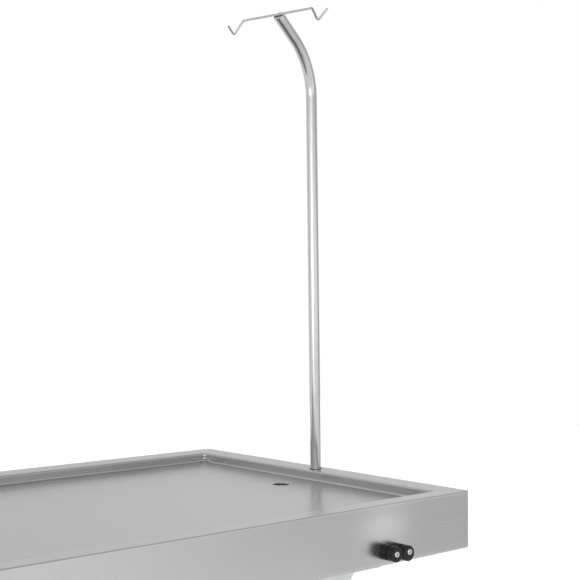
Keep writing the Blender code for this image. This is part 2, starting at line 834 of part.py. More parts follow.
def make_plunger():
    under = plunger_from_pivot * sin(pedal_rise_angle) / cos(pedal_rise_angle)
    under -= pedal_bar_height / 2 / cos(pedal_rise_angle)
    top = pedal_pivot_z + under - plunger_top_gap
    plunger = turned("pump_plunger", rod_profile(plunger_diameter / 2, plunger_length, plunger_chamfer),
                     plain_sides, parts)
    plunger_y = pedal_pivot_back - plunger_from_pivot
    place(plunger, (pump_x, plunger_y, top - plunger_length / 2), parent=base_frame)
    shade_round(plunger)
    paint(plunger, "polished")


def make_pipe():
    back = ram_front_x - ram_length - seat_gap
    corners = [
        (base_end_x, pipe_side, pipe_height),
        (back - pipe_behind_ram, pipe_side, pipe_height),
        (back - pipe_behind_ram, 0, ram_z),
        (back, 0, ram_z),
    ]
    pipe = wire("hydraulic_pipe", rounded_path(corners, pipe_bend_radius, hook_steps), pipe_diameter,
                wire_resolution, parts)
    pipe.parent = base_frame
    shade_round(pipe)
    paint(pipe, "zinc")


def make_socket():
    outer = socket_bore + socket_wall
    top = -sheet - socket_top_drop
    profile = [
        (socket_bore, top),
        (outer, top),
        (outer, -socket_depth - socket_floor),
        (0, -socket_depth - socket_floor),
    ]
    bore = [(0, -socket_depth), (socket_bore, -socket_depth), (socket_bore, top)]
    socket = turned("pole_socket", bore + profile[1:], plain_sides, parts)
    place(socket, (0, 0, 0), parent=stand)
    shade_round(socket)
    paint(socket, "stainless")
    inner = pole_diameter / 2 + pole_fit
    outer = inner + bush_wall
    bottom = -socket_depth + seat_gap
    profile = [(0, bottom + bush_floor), (inner, bottom + bush_floor), (inner, 0), (outer, 0),
               (outer, bottom), (0, bottom)]
    bush = turned("pole_bush", profile, plain_sides, parts)
    place(bush, (0, 0, 0), parent=stand)
    shade_round(bush)
    paint(bush, "black_plastic")


def pole_end():
    # The end of the pole's tail and the direction in which it points, in the stand's frame.
    direction = Vector((-sin(pole_bend_angle), 0, cos(pole_bend_angle)))
    bend_end = Vector((-pole_bend_radius * (1 - cos(pole_bend_angle)), 0,
                       pole_straight + pole_bend_radius * sin(pole_bend_angle)))
    return bend_end + direction * pole_tail, direction


def make_pole():
    foot = -socket_depth + bush_floor + 2 * seat_gap
    bend = arc_points(pole_bend_radius, (-pole_bend_radius, pole_straight), 0, pole_bend_angle, bend_steps)
    end = pole_end()[0]
    points = [(0, 0, foot)] + [(x, 0, z) for x, z in bend] + [tuple(end)]
    pole = wire("drip_pole", points, pole_diameter, pole_resolution, parts, capped=False)
    pole.parent = stand
    wall = pole.modifiers.new("wall", "SOLIDIFY")
    wall.thickness = pole_wall
    wall.offset = -1
    shade_round(pole)
    paint(pole, "stainless")


def make_hook_bar():
    end, direction = pole_end()
    middle = end + direction * (wire_diameter / 2 + seat_gap)
    half = bar_length / 2
    outline = [
        (half + hook_tip_out, -hook_tip_drop),
        (half + hook_valley_out, -hook_valley_drop),
        (half, 0),
    ]
    outline += [(-along, drop) for along, drop in reversed(outline)]
    corners = [middle + Vector((drop * sin(hook_tilt), along + bar_offset, drop * cos(hook_tilt)))
               for along, drop in outline]
    bar = wire("hook_bar", rounded_path(corners, hook_bend_radius, hook_steps), wire_diameter,
               wire_resolution, parts)
    bar.parent = stand
    shade_round(bar)
    paint(bar, "stainless")


def make_clamp_roller(name, side, offset, parent):
    # Its outer body stands off the screw's axis by the offset, which is nothing on a fixed roller.
    radius = clamp_diameter / 2
    groove = radius - clamp_groove_depth
    rear = clamp_rear_length
    front = rear + clamp_groove_length
    profile = [
        (0, clamp_length),
        (radius - clamp_edge, clamp_length),
        (radius, clamp_length - clamp_edge),
        (radius, front),
        (groove, front),
        (groove, rear),
        (radius, rear),
        (radius, seat_gap),
        (0, seat_gap),
    ]
    roller = turned(name, profile, fine_sides, parts)
    turn = (-side * pi / 2, 0, 0)
    place(roller, Vector((0, side * table_width / 2, 0)) + offset, turn, parent)
    drill(roller, name + "_bore", clamp_screw_diameter / 2 + clamp_screw_fit,
          2 * (clamp_length + cut_overrun), (0, side * table_width / 2, 0), along_y, parent, small_sides)
    seat = clamp_length + clamp_head_proud - clamp_head_height - seat_gap
    depth = clamp_length - seat + cut_overrun
    drill(roller, name + "_counterbore", clamp_head_diameter / 2 + clamp_head_fit, depth,
          (0, side * (table_width / 2 + seat + depth / 2), 0), along_y, parent, small_sides)
    shade_round(roller)
    paint(roller, "black_plastic")


def make_clamp_screw(name, x, side, parent):
    head = clamp_head_diameter / 2
    shank = clamp_screw_diameter / 2
    top = clamp_length + clamp_head_proud
    under = top - clamp_head_height
    bottom = -sheet - clamp_screw_inside
    nut = clamp_nut_diameter / 2
    nut_top = -sheet - seat_gap
    nut_bottom = nut_top - clamp_nut_height
    profile = [
        (0, top),
        (head, top),
        (head, under),
        (shank, under),
        (shank, nut_top),
        (nut, nut_top),
        (nut, nut_bottom),
        (shank, nut_bottom),
        (shank, bottom),
        (0, bottom),
    ]
    screw = turned(name, profile, small_sides, parts)
    place(screw, (x, side * table_width / 2, clamp_z), (-side * pi / 2, 0, 0), parent)
    hex_radius = clamp_hex_width / 2 / cos(pi / hex_sides)
    depth = clamp_hex_depth + cut_overrun
    hex_y = side * (table_width / 2 + top + cut_overrun - depth / 2)
    drill(screw, name + "_hex", hex_radius, depth, (x, hex_y, clamp_z), along_y, parent, hex_sides)
    shade_round(screw)
    paint(screw, "zinc")


def make_clamps():
    for side, end, name, fixed_x, cam_x in clamp_places():
        fixed = pivot("fixed_" + name, (fixed_x, 0, clamp_z), parent=top_origin)
        cam = pivot("cam_" + name, (cam_x, 0, clamp_z), parent=top_origin)
        offset = Vector((cam_offset * cos(cam_offset_angle) * end, 0, cam_offset * sin(cam_offset_angle)))
        make_clamp_roller("fixed_roller_" + name, side, Vector((0, 0, 0)), fixed)
        make_clamp_roller("cam_roller_" + name, side, offset, cam)
        make_clamp_screw("fixed_screw_" + name, fixed_x, side, top_origin)
        make_clamp_screw("cam_screw_" + name, cam_x, side, top_origin)


def build():
    make_table_top()
    make_drain_pipe()
    for side, side_name in side_names:
        make_rail("upper_rail_" + side_name, side, upper_rail_length, upper_pivot_z, upper_pivot_z, top_origin)
    make_bearers()
    make_arms()
    make_centre_pins()
    make_rollers()
    make_base()
    make_shaft("lower_pivot_shaft", (fixed_pivot_x, 0, lower_pivot_z), base_frame)
    make_shaft("upper_pivot_shaft", (fixed_pivot_x, 0, upper_pivot_z), top_origin)
    make_ram_cylinder()
    make_ram_saddle()
    make_ram_rod()
    make_lifting_cam()
    make_pump()
    make_pedal()
    make_plunger()
    make_pipe()
    make_socket()
    make_pole()
    make_hook_bar()
    make_clamps()


build()
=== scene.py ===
# Looks of a stainless veterinary treatment table: tray, drip pole, rope clamps and scissor lift.
# Metres, +X towards the drip pole, +Y to the back, +Z up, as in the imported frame.
import json
import math

import bmesh
import bpy
import numpy as np
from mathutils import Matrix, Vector


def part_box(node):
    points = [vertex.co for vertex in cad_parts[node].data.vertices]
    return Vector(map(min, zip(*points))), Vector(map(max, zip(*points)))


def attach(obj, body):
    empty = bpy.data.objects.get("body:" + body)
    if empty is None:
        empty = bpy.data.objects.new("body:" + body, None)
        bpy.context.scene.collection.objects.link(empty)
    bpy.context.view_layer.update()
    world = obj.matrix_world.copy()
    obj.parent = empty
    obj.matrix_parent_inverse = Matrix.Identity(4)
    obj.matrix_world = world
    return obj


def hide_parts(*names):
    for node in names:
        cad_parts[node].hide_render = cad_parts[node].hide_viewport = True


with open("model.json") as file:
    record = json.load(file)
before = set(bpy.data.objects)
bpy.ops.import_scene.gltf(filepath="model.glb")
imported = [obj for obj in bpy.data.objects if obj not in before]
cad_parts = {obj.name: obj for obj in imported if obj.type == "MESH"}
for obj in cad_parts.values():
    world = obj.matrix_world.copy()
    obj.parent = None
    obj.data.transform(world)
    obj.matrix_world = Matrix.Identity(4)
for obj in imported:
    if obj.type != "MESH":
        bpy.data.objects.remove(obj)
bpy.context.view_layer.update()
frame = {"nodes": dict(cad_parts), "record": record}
print("frame loaded:", len(frame["nodes"]), "nodes")

mm = 0.001
nearAxis = 0.3 * mm                 # open turned profiles start and end this close to their axis
midway = 0.3                        # share of a rounded edge's radius that its middle row stands in
turnedSharp, plateSharp = 35, 40    # degrees: an edge that bends more stays sharp
alongX, alongY, alongZ = (1, 0, 0), (0, 1, 0), (0, 0, 1)


def metres(**sizes):
    # A dictionary of sizes or tables of points in millimetres, each times 0.001.
    return {name: np.multiply(size, mm) for name, size in sizes.items()}


def linked(name, data):
    # A new object in the scene.
    thing = bpy.data.objects.new(name, data)
    bpy.context.scene.collection.objects.link(thing)
    return thing


# Colours and nodes

def linearColour(hexText):
    # sRGB to linear light: each part over 12.92 where it is dark, otherwise ((part + 0.055) / 1.055) to the power 2.4.
    parts = [int(hexText[i:i + 2], 16) / 255 for i in (1, 3, 5)]
    return tuple(p / 12.92 if p <= 0.04045 else ((p + 0.055) / 1.055) ** 2.4 for p in parts) + (1.0,)


def fillInputs(tree, node, inputs):
    # A link is given as (node, output name), anything else is a socket's value.
    for key, value in inputs.items():
        if isinstance(value, tuple) and isinstance(value[0], bpy.types.Node):
            tree.links.new(value[0].outputs[value[1]], node.inputs[key])
        else:
            node.inputs[key].default_value = value


def addNode(tree, kind, inputs=None, **settings):
    # A shader node with its settings, values and links.
    node = tree.nodes.new("ShaderNode" + kind)
    for key, value in settings.items():
        setattr(node, key, value)
    fillInputs(tree, node, inputs or {})
    return node


def newMaterial(name):
    # A material with one shader, joined to its output.
    material = bpy.data.materials.new(name)
    material.use_nodes = True
    tree = material.node_tree
    tree.nodes.clear()
    shader = addNode(tree, "BsdfPrincipled")
    addNode(tree, "OutputMaterial", {"Surface": (shader, "BSDF")})
    return material, tree, shader


steelLook = {
    # painted sheen: the lighter colour that the apron's bright patches beside the clamps go to
    "colour": "#BFBFBF", "dark": "#BABABA", "rubbed": "#DADADA",
    "roughness": 0.26, "spread": 0.02, "anisotropy": 0.4,
    # Number 4 grit lines are near 0.1 mm wide, drawn coarser to show
    **metres(streakWide=0.8, streakLong=130, cloudSize=240, waveSize=300, scratchBump=0.0025, waveBump=1),
    "streakDetail": 4.0, "streakFade": 0.6,
    # Sums of the streaks and clouds between which colour and roughness go from one end to the other
    "toneSpan": (0.75, 1.25), "roughSpan": (0.7, 1.3), "bumpStrength": 0.5,
}


def roughnessInputs(look, source, span):
    # The roughness goes from the look's least to its most over the span of the source.
    return {"Value": source, "From Min": span[0], "From Max": span[1],
            "To Min": look["roughness"] - look["spread"], "To Max": look["roughness"] + look["spread"]}


def brushedSheet():
    # Satin stainless sheet, number 4 belt finish: fine lines along each panel draw out the reflections across them.
    look = steelLook
    material, tree, shader = newMaterial("satin_stainless_sheet")
    place = addNode(tree, "UVMap", uv_map="brush")
    lines = addNode(tree, "Mapping", {
        "Vector": (place, "UV"), "Scale": (1 / look["streakLong"], 1 / look["streakWide"], 1)})
    streaks = addNode(tree, "TexNoise", {
        "Vector": (lines, "Vector"), "Scale": 1.0, "Detail": look["streakDetail"],
        "Roughness": look["streakFade"]}, noise_dimensions="2D")
    clouds = addNode(tree, "TexNoise", {
        "Vector": (place, "UV"), "Scale": 1 / look["cloudSize"]}, noise_dimensions="2D")
    both = addNode(tree, "Math", {0: (streaks, "Fac"), 1: (clouds, "Fac")}, operation="ADD")
    tone = addNode(tree, "MapRange", {
        "Value": (both, "Value"), "From Min": look["toneSpan"][0], "From Max": look["toneSpan"][1]})
    mix = addNode(tree, "Mix", {
        "Factor": (tone, "Result"), "A": linearColour(look["dark"]),
        "B": linearColour(look["colour"])}, data_type="RGBA")
    # Painted sheen: the sheet's colour goes lighter where this mask is high
    rub = addNode(tree, "Attribute", attribute_name="rubbed")
    polished = addNode(tree, "Mix", {
        "Factor": (rub, "Fac"), "A": (mix, "Result"), "B": linearColour(look["rubbed"])}, data_type="RGBA")
    rough = addNode(tree, "MapRange", roughnessInputs(look, (both, "Value"), look["roughSpan"]))
    waves = addNode(tree, "TexNoise", {
        "Vector": (place, "UV"), "Scale": 1 / look["waveSize"], "Detail": 0.0}, noise_dimensions="2D")
    dents = addNode(tree, "Bump", {
        "Height": (waves, "Fac"), "Distance": look["waveBump"], "Strength": look["bumpStrength"]})
    scratches = addNode(tree, "Bump", {
        "Height": (streaks, "Fac"), "Distance": look["scratchBump"], "Strength": look["bumpStrength"],
        "Normal": (dents, "Normal")})
    tangent = addNode(tree, "Tangent", direction_type="UV_MAP", uv_map="brush")
    fillInputs(tree, shader, {
        "Metallic": 1.0, "Anisotropic": look["anisotropy"], "Base Color": (polished, "Result"),
        "Roughness": (rough, "Result"), "Normal": (scratches, "Normal"), "Tangent": (tangent, "Tangent")})
    return material


speckle = {"detail": 3.0, "grainFade": 0.55, "markFade": 0.6, "markSpan": (0.3, 0.7), "bumpStrength": 0.6}


def speckledMaterial(name, look):
    # Colour, roughness and a fine bump that follow two noises: the grain of the finish and broad handling marks.
    material, tree, shader = newMaterial(name)
    place = addNode(tree, "TexCoord")
    grain, marks = (addNode(tree, "TexNoise", {
        "Vector": (place, "Object"), "Scale": 1 / look[size], "Detail": speckle["detail"],
        "Roughness": speckle[fade]}) for size, fade in (("grain", "grainFade"), ("marks", "markFade")))
    mix = addNode(tree, "Mix", {
        "Factor": (marks, "Fac"), "A": linearColour(look["dark"]), "B": linearColour(look["colour"])}, data_type="RGBA")
    rough = addNode(tree, "MapRange", roughnessInputs(look, (marks, "Fac"), speckle["markSpan"]))
    bump = addNode(tree, "Bump", {
        "Height": (grain, "Fac"), "Distance": look["bump"], "Strength": speckle["bumpStrength"]})
    sockets = {"metallic": "Metallic", "ior": "IOR", "coat": "Coat Weight", "specular": "Specular IOR Level"}
    fillInputs(tree, shader, {socket: look[key] for key, socket in sockets.items() if key in look})
    fillInputs(tree, shader, {
        "Base Color": (mix, "Result"), "Roughness": (rough, "Result"), "Normal": (bump, "Normal")})
    return material


finishes = {
    # Drawn stainless tube and wire, belt-polished along their length
    "groundTube": {"colour": "#C6C6C5", "dark": "#B4B4B4", "roughness": 0.17, "spread": 0.02, "metallic": 1.0,
                   **metres(grain=3, marks=60, bump=0.004)},
    # The same steel left dull from pickling, as inside a drain
    "pickledTube": {"colour": "#8E8E8C", "dark": "#6C6C6A", "roughness": 0.46, "spread": 0.08, "metallic": 1.0,
                    **metres(grain=1.5, marks=25, bump=0.03)},
    # Light grey polyester powder coat: a soft gloss with orange peel a few millimetres across
    "powderCoat": {"colour": "#E2E4E4", "dark": "#DADCDC", "roughness": 0.38, "spread": 0.06, "ior": 1.5,
                   **metres(grain=2.4, marks=120, bump=0.05)},
    # Moulded black polyamide: dark grey-black with a fine spark-eroded grain
    "blackNylon": {"colour": "#161616", "dark": "#0D0D0D", "roughness": 0.36, "spread": 0.07, "ior": 1.53,
                   "specular": 0.3, **metres(grain=0.5, marks=14, bump=0.03)},
    # Bright zinc plate on turned steel
    "zincPlate": {"colour": "#E4E5E5", "dark": "#D6D8D8", "roughness": 0.24, "spread": 0.08, "metallic": 1.0,
                  **metres(grain=0.8, marks=16, bump=0.01)},
    # Air-dried black enamel on the ram's barrel
    "blackEnamel": {"colour": "#1A1A1B", "dark": "#131313", "roughness": 0.30, "spread": 0.06, "ior": 1.5,
                    "coat": 0.4, **metres(grain=3, marks=50, bump=0.04)},
    # Ground and honed hard chrome on the ram's rod and the pump's plunger
    "hardChrome": {"colour": "#D8D8D9", "dark": "#CDCDCE", "roughness": 0.10, "spread": 0.03, "metallic": 1.0,
                   **metres(grain=0.6, marks=40, bump=0.004)},
    # Black nitrile rubber of the feet, matt with dust on it
    "footRubber": {"colour": "#262626", "dark": "#191919", "roughness": 0.74, "spread": 0.08, "ior": 1.52,
                   **metres(grain=0.9, marks=12, bump=0.08)},
}
materials = {name: speckledMaterial(name, look) for name, look in finishes.items()}
materials["sheet"] = brushedSheet()
# The record's material slots, with the finish of a plain node in each
slotFinish = {"stainless": "groundTube", "grey_paint": "powderCoat", "zinc": "zincPlate", "black_paint": "blackEnamel",
              "black_plastic": "blackNylon", "rubber": "footRubber", "hard_chrome": "hardChrome"}
finishSlot = {finish: slot for slot, finish in slotFinish.items()}
finishSlot.update(sheet="stainless", pickledTube="stainless")
print("materials made:", len(materials))


# Meshes

def unit(vectors):
    # Each vector over its own length.
    vectors = np.asarray(vectors, float)
    return vectors / np.linalg.norm(vectors, axis=-1, keepdims=True)


def newMesh(name, points, faces):
    # Points in threes, and each face as the numbers of its points.
    mesh = bpy.data.meshes.new(name)
    mesh.from_pydata(np.asarray(points, float).reshape(-1, 3).tolist(), [], faces)
    return mesh


def gridFaces(rows, columns, closeRows=False, closeColumns=True):
    # Quads between neighbouring points of a grid of rows by columns, joined round where it closes.
    r = np.arange(rows if closeRows else rows - 1)
    c = np.arange(columns if closeColumns else columns - 1)
    r, c = np.meshgrid(r, c, indexing="ij")
    rNext, cNext = (r + 1) % rows, (c + 1) % columns
    corners = np.stack([r * columns + c, r * columns + cNext, rNext * columns + cNext, rNext * columns + c], -1)
    return corners.reshape(-1, 4).tolist()


def addPiece(mesh, finish, body, replaced=(), sharp=plateSharp):
    # Makes a finished mesh a piece that rides on its body and stands for the CAD nodes it replaces.
    mesh.shade_smooth()
    mesh.set_sharp_from_angle(angle=math.radians(sharp))
    mesh.materials.append(materials[finish])
    piece = linked(mesh.name, mesh)
    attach(piece, body)
    if replaced:
        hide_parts(*replaced)
    return piece


def endCaps(rows, columns):
    # A grid's first and last ring, each as one face.
    return [list(range(columns))[::-1], list(range((rows - 1) * columns, rows * columns))]


def meshPiece(name, points, faces, finish, body, replaced=(), sharp=turnedSharp, uv=None):
    # A closed surface is turned outwards. A sheet that brings its UV map already faces the right way.
    mesh = newMesh(name, points, faces)
    if uv is None:
        turnOutward(mesh)
    else:
        mesh.uv_layers.new(name="brush").data.foreach_set("uv", np.asarray(uv, np.float32).ravel())
    return addPiece(mesh, finish, body, replaced, sharp)


def turnOutward(mesh):
    # Every face's normal points out of the closed surface.
    shape = bmesh.new()
    shape.from_mesh(mesh)
    bmesh.ops.recalc_face_normals(shape, faces=shape.faces)
    shape.to_mesh(mesh)
    shape.free()


def boxMiddle(node):
    # Middle, lowest and highest corner of a CAD node's box.
    low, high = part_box(node)
    return (low + high) / 2, low, high


def axisFrame(axis):
    # Two unit vectors square to the axis and to each other.
    axis = unit(axis)
    across = unit(np.cross(axis, alongX if abs(axis[0]) < 0.9 else alongZ))    # the helper is well off the axis
    return axis, across, np.cross(axis, across)


def revolved(profile, origin, axis, sides=64, shape=None):
    # Each (radius, height) of the profile becomes a ring round the axis: origin + height along it
    # + radius times (cos, sin) of the ring's angle. A shape gives each ring's own radius by angle.
    profile = np.asarray(profile, float)
    axis, across, beside = axisFrame(axis)
    angle = np.arange(sides) * 2 * np.pi / sides
    radius = profile[:, :1] * np.ones(sides)
    if shape is not None:
        radius = radius * shape(angle, len(profile))
    around = np.cos(angle)[None, :, None] * across + np.sin(angle)[None, :, None] * beside
    return np.asarray(origin, float) + profile[:, 1, None, None] * axis + radius[:, :, None] * around


def turnedPiece(name, profile, origin, axis, finish, body, replaced=(), sides=64, shape=None, closed=False):
    # Open profiles start and end near the axis and are capped there, closed ones go round a bore.
    rings = revolved(profile, origin, axis, sides, shape)
    faces = gridFaces(len(profile), sides, closeRows=closed)
    if not closed:
        faces += endCaps(len(profile), sides)
    return meshPiece(name, rings, faces, finish, body, replaced)


def softened(profile, radius, steps=3, closed=False):
    # Each corner of an outline is replaced by a short curve that starts and ends the radius away from it,
    # or a third of the shorter side where that is less: a quadratic curve with the corner as its middle point.
    profile = [np.asarray(p, float) for p in profile]
    count = len(profile)
    out = []
    for i in range(count):
        if not closed and i in (0, count - 1):
            out.append(profile[i])
            continue
        corner, before, after = profile[i], profile[i - 1], profile[(i + 1) % count]
        inLength, outLength = np.linalg.norm(corner - before), np.linalg.norm(after - corner)
        reach = min(radius, inLength / 3, outLength / 3)
        start = corner + (before - corner) * reach / inLength
        end = corner + (after - corner) * reach / outLength
        for t in np.linspace(0, 1, steps + 1):
            out.append((1 - t) ** 2 * start + 2 * t * (1 - t) * corner + t ** 2 * end)
    return out


def sweptTube(path, radii, sides, bendAxis):
    # Rings of the radii square to a path that bends only about one axis.
    path = np.asarray(path, float)
    beside = unit(bendAxis)
    across = unit(np.cross(beside, unit(np.gradient(path, axis=0))))
    angle = np.arange(sides) * 2 * np.pi / sides
    ring = np.cos(angle)[None, :, None] * across[:, None, :] + np.sin(angle)[None, :, None] * beside
    return path[:, None, :] + np.asarray(radii, float)[:, None, None] * ring


copies = {"merge": 0.01 * mm, "flatAngle": math.radians(0.5), "bevelAngle": math.radians(40), "segments": 2}


def bevelledCopy(node, width, finish, body):
    # The node's own solid, merged and with its flat faces whole, gets rounded edges.
    shape = bmesh.new()
    shape.from_mesh(frame["nodes"][node].data)
    bmesh.ops.remove_doubles(shape, verts=shape.verts, dist=copies["merge"])
    bmesh.ops.dissolve_limit(shape, angle_limit=copies["flatAngle"], verts=shape.verts, edges=shape.edges)
    mesh = bpy.data.meshes.new(node + "_finished")
    shape.to_mesh(mesh)
    shape.free()
    piece = addPiece(mesh, finish, body, (node,))
    bevel = piece.modifiers.new("edges", "BEVEL")
    bevel.width = width
    bevel.segments = copies["segments"]
    bevel.limit_method = "ANGLE"
    bevel.angle_limit = copies["bevelAngle"]
    bevel.harden_normals = True


sideNames = {"front": -1, "back": 1}
endNames = {"pole_end": 1, "foot_end": -1}
cornerNames = {sideName + "_" + endName: (side, end)
               for sideName, side in sideNames.items() for endName, end in endNames.items()}


# Tray

screws = metres(fromEnd=170, spacing=24.2, belowRim=62.2, hole=2.8)    # of each clamp
drain = {**metres(fromEnd=90, radius=13, lip=2.2, lipDrop=1.3, flat=8),
         "lipSteps": 6, "flatShares": (0.6, 0.3, 0.08, 0)}
tray = {
    **metres(rimWidth=36, rimFall=1.4, basinDepth=14.5, floorFall=1.5, sheet=1.5, brinkFold=2.4, fold=1.2, footFold=2.4,
             hem=12, outerCorner=4, innerCorner=5, weldRipple=1.1, weldPitch=4.6, creaseWide=0.9, creaseDeep=0.5,
             cornerZone=15, rubSkin=1, punchReach=5),
    # Painted sheen, a lighter patch of the apron's colour beside each pair of clamps: middle from the clamp's, and
    # reach, along and up
    **metres(rubMiddle=(-14, 34), rubReach=(44, 30)),
    # Rows as shares: of the crease's width and depth, and of the way across the apron, the rim and the floor
    "creaseRows": ((0.15, 0.6), (0.5, 1), (0.85, 0.6), (1, 0)),
    "apronShares": np.linspace(0.06, 0.94, 16), "rimShares": (0.25, 0.5, 0.75, 0.9),
    "floorShares": (0.012, 0.03, 0.07, 0.14, 0.25, 0.4, 0.55, 0.7, 0.82, 0.91, 0.96, 1.0),
    "longSteps": 110, "shortSteps": 30, "cornerSteps": 8, "foldSteps": 6, "wallSteps": 24, "punchSides": 48,
    "endShift": 3.0, "backShift": 1.0,    # metres that keep the streaks of the ends and of the back apart
}
trayLow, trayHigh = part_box("table_top")
halfLength, halfWidth = trayHigh.x, trayHigh.y
rimTop, apronBottom = trayHigh.z, trayLow.z
brinkTop = rimTop - tray["rimFall"]
floorTop = brinkTop - tray["basinDepth"]
drainX, drainZ = halfLength - drain["fromEnd"], floorTop - tray["floorFall"]
screwX, screwZ = halfLength - screws["fromEnd"], rimTop - screws["belowRim"]

# The pole leans a little: its foot on the rim, its axis, and the directions beside it and away from the tray
stand = {**metres(fromEnd=17.5, hole=10.5), "lean": math.radians(1.09), "turn": math.radians(9.8)}
standAxis = Vector((-math.sin(stand["lean"]) * math.cos(stand["turn"]),
                    -math.sin(stand["lean"]) * math.sin(stand["turn"]), math.cos(stand["lean"])))
standSide = Vector((-math.sin(stand["turn"]), math.cos(stand["turn"]), 0))
standOut = standSide.cross(standAxis)
standFoot = Vector((halfLength - stand["fromEnd"], 0, rimTop))


def fromStand(points):
    # Local (out, along, up) of the leaning pole to the table's own axes.
    turn = np.array([standOut, standSide, standAxis])
    return np.asarray(points, float) @ turn + np.array(standFoot)


def aroundTray(insets, heights, radii):
    # Rounded rectangles: corner centres at the half sizes less the radius, and a point at the radius from them.
    # The back and foot end are the front and pole end turned half round.
    along = np.linspace(-1, 1, tray["longSteps"], endpoint=False)
    across = np.linspace(-1, 1, tray["shortSteps"], endpoint=False)
    turn = np.linspace(0, np.pi / 2, tray["cornerSteps"], endpoint=False)
    one = np.ones_like
    x = np.concatenate([along, one(turn), one(across), one(turn)])
    y = np.concatenate([-one(along), -one(turn), across, one(turn)])
    angle = np.concatenate([one(along) * -np.pi / 2, turn - np.pi / 2, 0 * across, turn])
    x, y, angle = np.append(x, -x), np.append(y, -y), np.append(angle, angle + np.pi)
    insets, heights, radii = (np.asarray(v, float)[:, None] for v in (insets, heights, radii))
    px = x * (halfLength - insets - radii) + radii * np.cos(angle)
    py = y * (halfWidth - insets - radii) + radii * np.sin(angle)
    return np.stack([px, py, np.broadcast_to(heights, px.shape)], -1)


def trayProfile():
    # (inset, height, corner radius) from the hem under the apron, over the rim and down to the floor's edge. Folds are
    # quarter circles, and the corner's weld swells by the squared sine of the way down the wall.
    fold, brink, foot, rim = tray["fold"], tray["brinkFold"], tray["footFold"], tray["rimWidth"]
    turn = np.linspace(0, np.pi / 2, tray["foldSteps"] + 1)
    outer, inner = tray["outerCorner"], tray["innerCorner"]
    rows = [(tray["hem"], apronBottom, outer)]
    rows += [(fold - fold * math.sin(a), apronBottom + fold - fold * math.cos(a), outer) for a in turn]
    rows += [(0, apronBottom + (rimTop - apronBottom) * share, outer) for share in tray["apronShares"]]
    rows += [(fold - fold * math.cos(a), rimTop - fold + fold * math.sin(a), outer) for a in turn]
    rows += [(rim * share, rimTop - tray["rimFall"] * share, outer * (1 - share) + inner * share)
             for share in tray["rimShares"]]
    rows += [(rim - brink + brink * math.sin(a), brinkTop - brink + brink * math.cos(a), inner) for a in turn]
    top, bottom = brinkTop - brink, floorTop + foot
    for height in np.linspace(top, bottom, tray["wallSteps"])[1:-1]:
        ripple = tray["weldRipple"] * math.sin(math.pi * (top - height) / tray["weldPitch"]) ** 2
        rows.append((rim, height, inner + ripple))
    rows += [(rim + foot - foot * math.cos(a), bottom - foot * math.sin(a), inner + foot) for a in turn]
    return np.array(rows)


def brushMap(points, profile, faces):
    # Metres along the brush lines and across them. The lines run along each side on the rim and apron, where the
    # second number is the way travelled down the profile, and along the tray on its floor.
    rows, columns = points.shape[:2]
    long, short, corner = tray["longSteps"], tray["shortSteps"], tray["cornerSteps"]
    half = corner // 2    # the direction changes in the middle of each corner
    atEnd = np.repeat((False, True, False, True, False),
                      (long + half, corner + short, corner + long, corner + short, corner - half))
    row, column = (numbers.ravel() for numbers in np.indices((rows - 1, columns)))
    onFloor = (row >= len(profile) - 1)[:, None]
    index = np.array(faces)
    x, y = np.moveaxis(points.reshape(-1, 3)[index][:, :, :2], -1, 0)
    travel = np.cumsum(np.linalg.norm(np.diff(profile[:, :2], axis=0), axis=1))
    travel = np.pad(travel, (1, 0))
    travel = np.pad(travel, (0, rows - len(travel)), mode="edge")
    across = travel[index // columns] + tray["backShift"] * (column[:, None] >= 2 * long)
    return np.stack([np.where(atEnd[column, None] & ~onFloor, y + tray["endShift"], x),
                     np.where(onFloor, y, across)], -1)


def makeTray():
    # The profile's rings, then the floor's: straight lines from its edge to the flat round the drain, whose lip is a
    # quarter of an ellipse.
    profile = trayProfile()
    rings = aroundTray(profile[:, 0], profile[:, 1], profile[:, 2])
    edge = rings[-1]
    middle = np.array((drainX, 0))
    outward = unit(edge[:, :2] - middle)

    def drainRing(reach, drop=0.0):
        flat = middle + (drain["radius"] + reach) * outward
        return np.concatenate([flat, np.full((len(edge), 1), drainZ - drop)], 1)

    zone = np.array((halfLength, halfWidth)) - tray["rimWidth"] - tray["cornerZone"]
    inward = np.sign(middle - edge[:, :2]) * (np.abs(edge[:, :2]) > zone)
    creases = [np.concatenate([edge[:, :2] + inward * tray["creaseWide"] * share,
                               edge[:, 2:] - tray["creaseDeep"] * deep], 1) for share, deep in tray["creaseRows"]]
    lip, shares = drain["lip"], np.array(tray["floorShares"])
    floorRings = edge + (drainRing(lip + drain["flat"]) - edge) * shares[:, None, None]
    lipRings = [drainRing(lip + drain["flat"] * share) for share in drain["flatShares"]]
    lipRings += [drainRing(lip * (1 - math.sin(a)), drain["lipDrop"] * (1 - math.cos(a)))
                 for a in np.linspace(0, np.pi / 2, drain["lipSteps"])[1:]]
    points = np.concatenate([rings, creases, floorRings, lipRings])
    faces = gridFaces(*points.shape[:2])
    piece = meshPiece("tray_top", points, faces, "sheet", "tray", ("table_top",), plateSharp,
                      brushMap(points, profile, faces))
    rubApron(piece, points.reshape(-1, 3))
    wall = piece.modifiers.new("sheet", "SOLIDIFY")
    wall.thickness = tray["sheet"]
    wall.offset = -1
    return piece


def rubApron(piece, points):
    # Painted sheen: a bell curve of the distance along the apron and up it from each bright spot's middle.
    clampX = screwX + screws["spacing"] / 2
    onApron = np.abs(points[:, 1]) > halfWidth - tray["rubSkin"]
    rubbed = np.zeros(len(points))
    for end in endNames.values():
        along = (points[:, 0] - end * (clampX + tray["rubMiddle"][0])) / tray["rubReach"][0]
        up = (points[:, 2] - screwZ - tray["rubMiddle"][1]) / tray["rubReach"][1]
        rubbed += np.exp(-along ** 2 - up ** 2) * onApron
    piece.data.attributes.new("rubbed", "FLOAT", "POINT").data.foreach_set("value", rubbed.astype(np.float32))


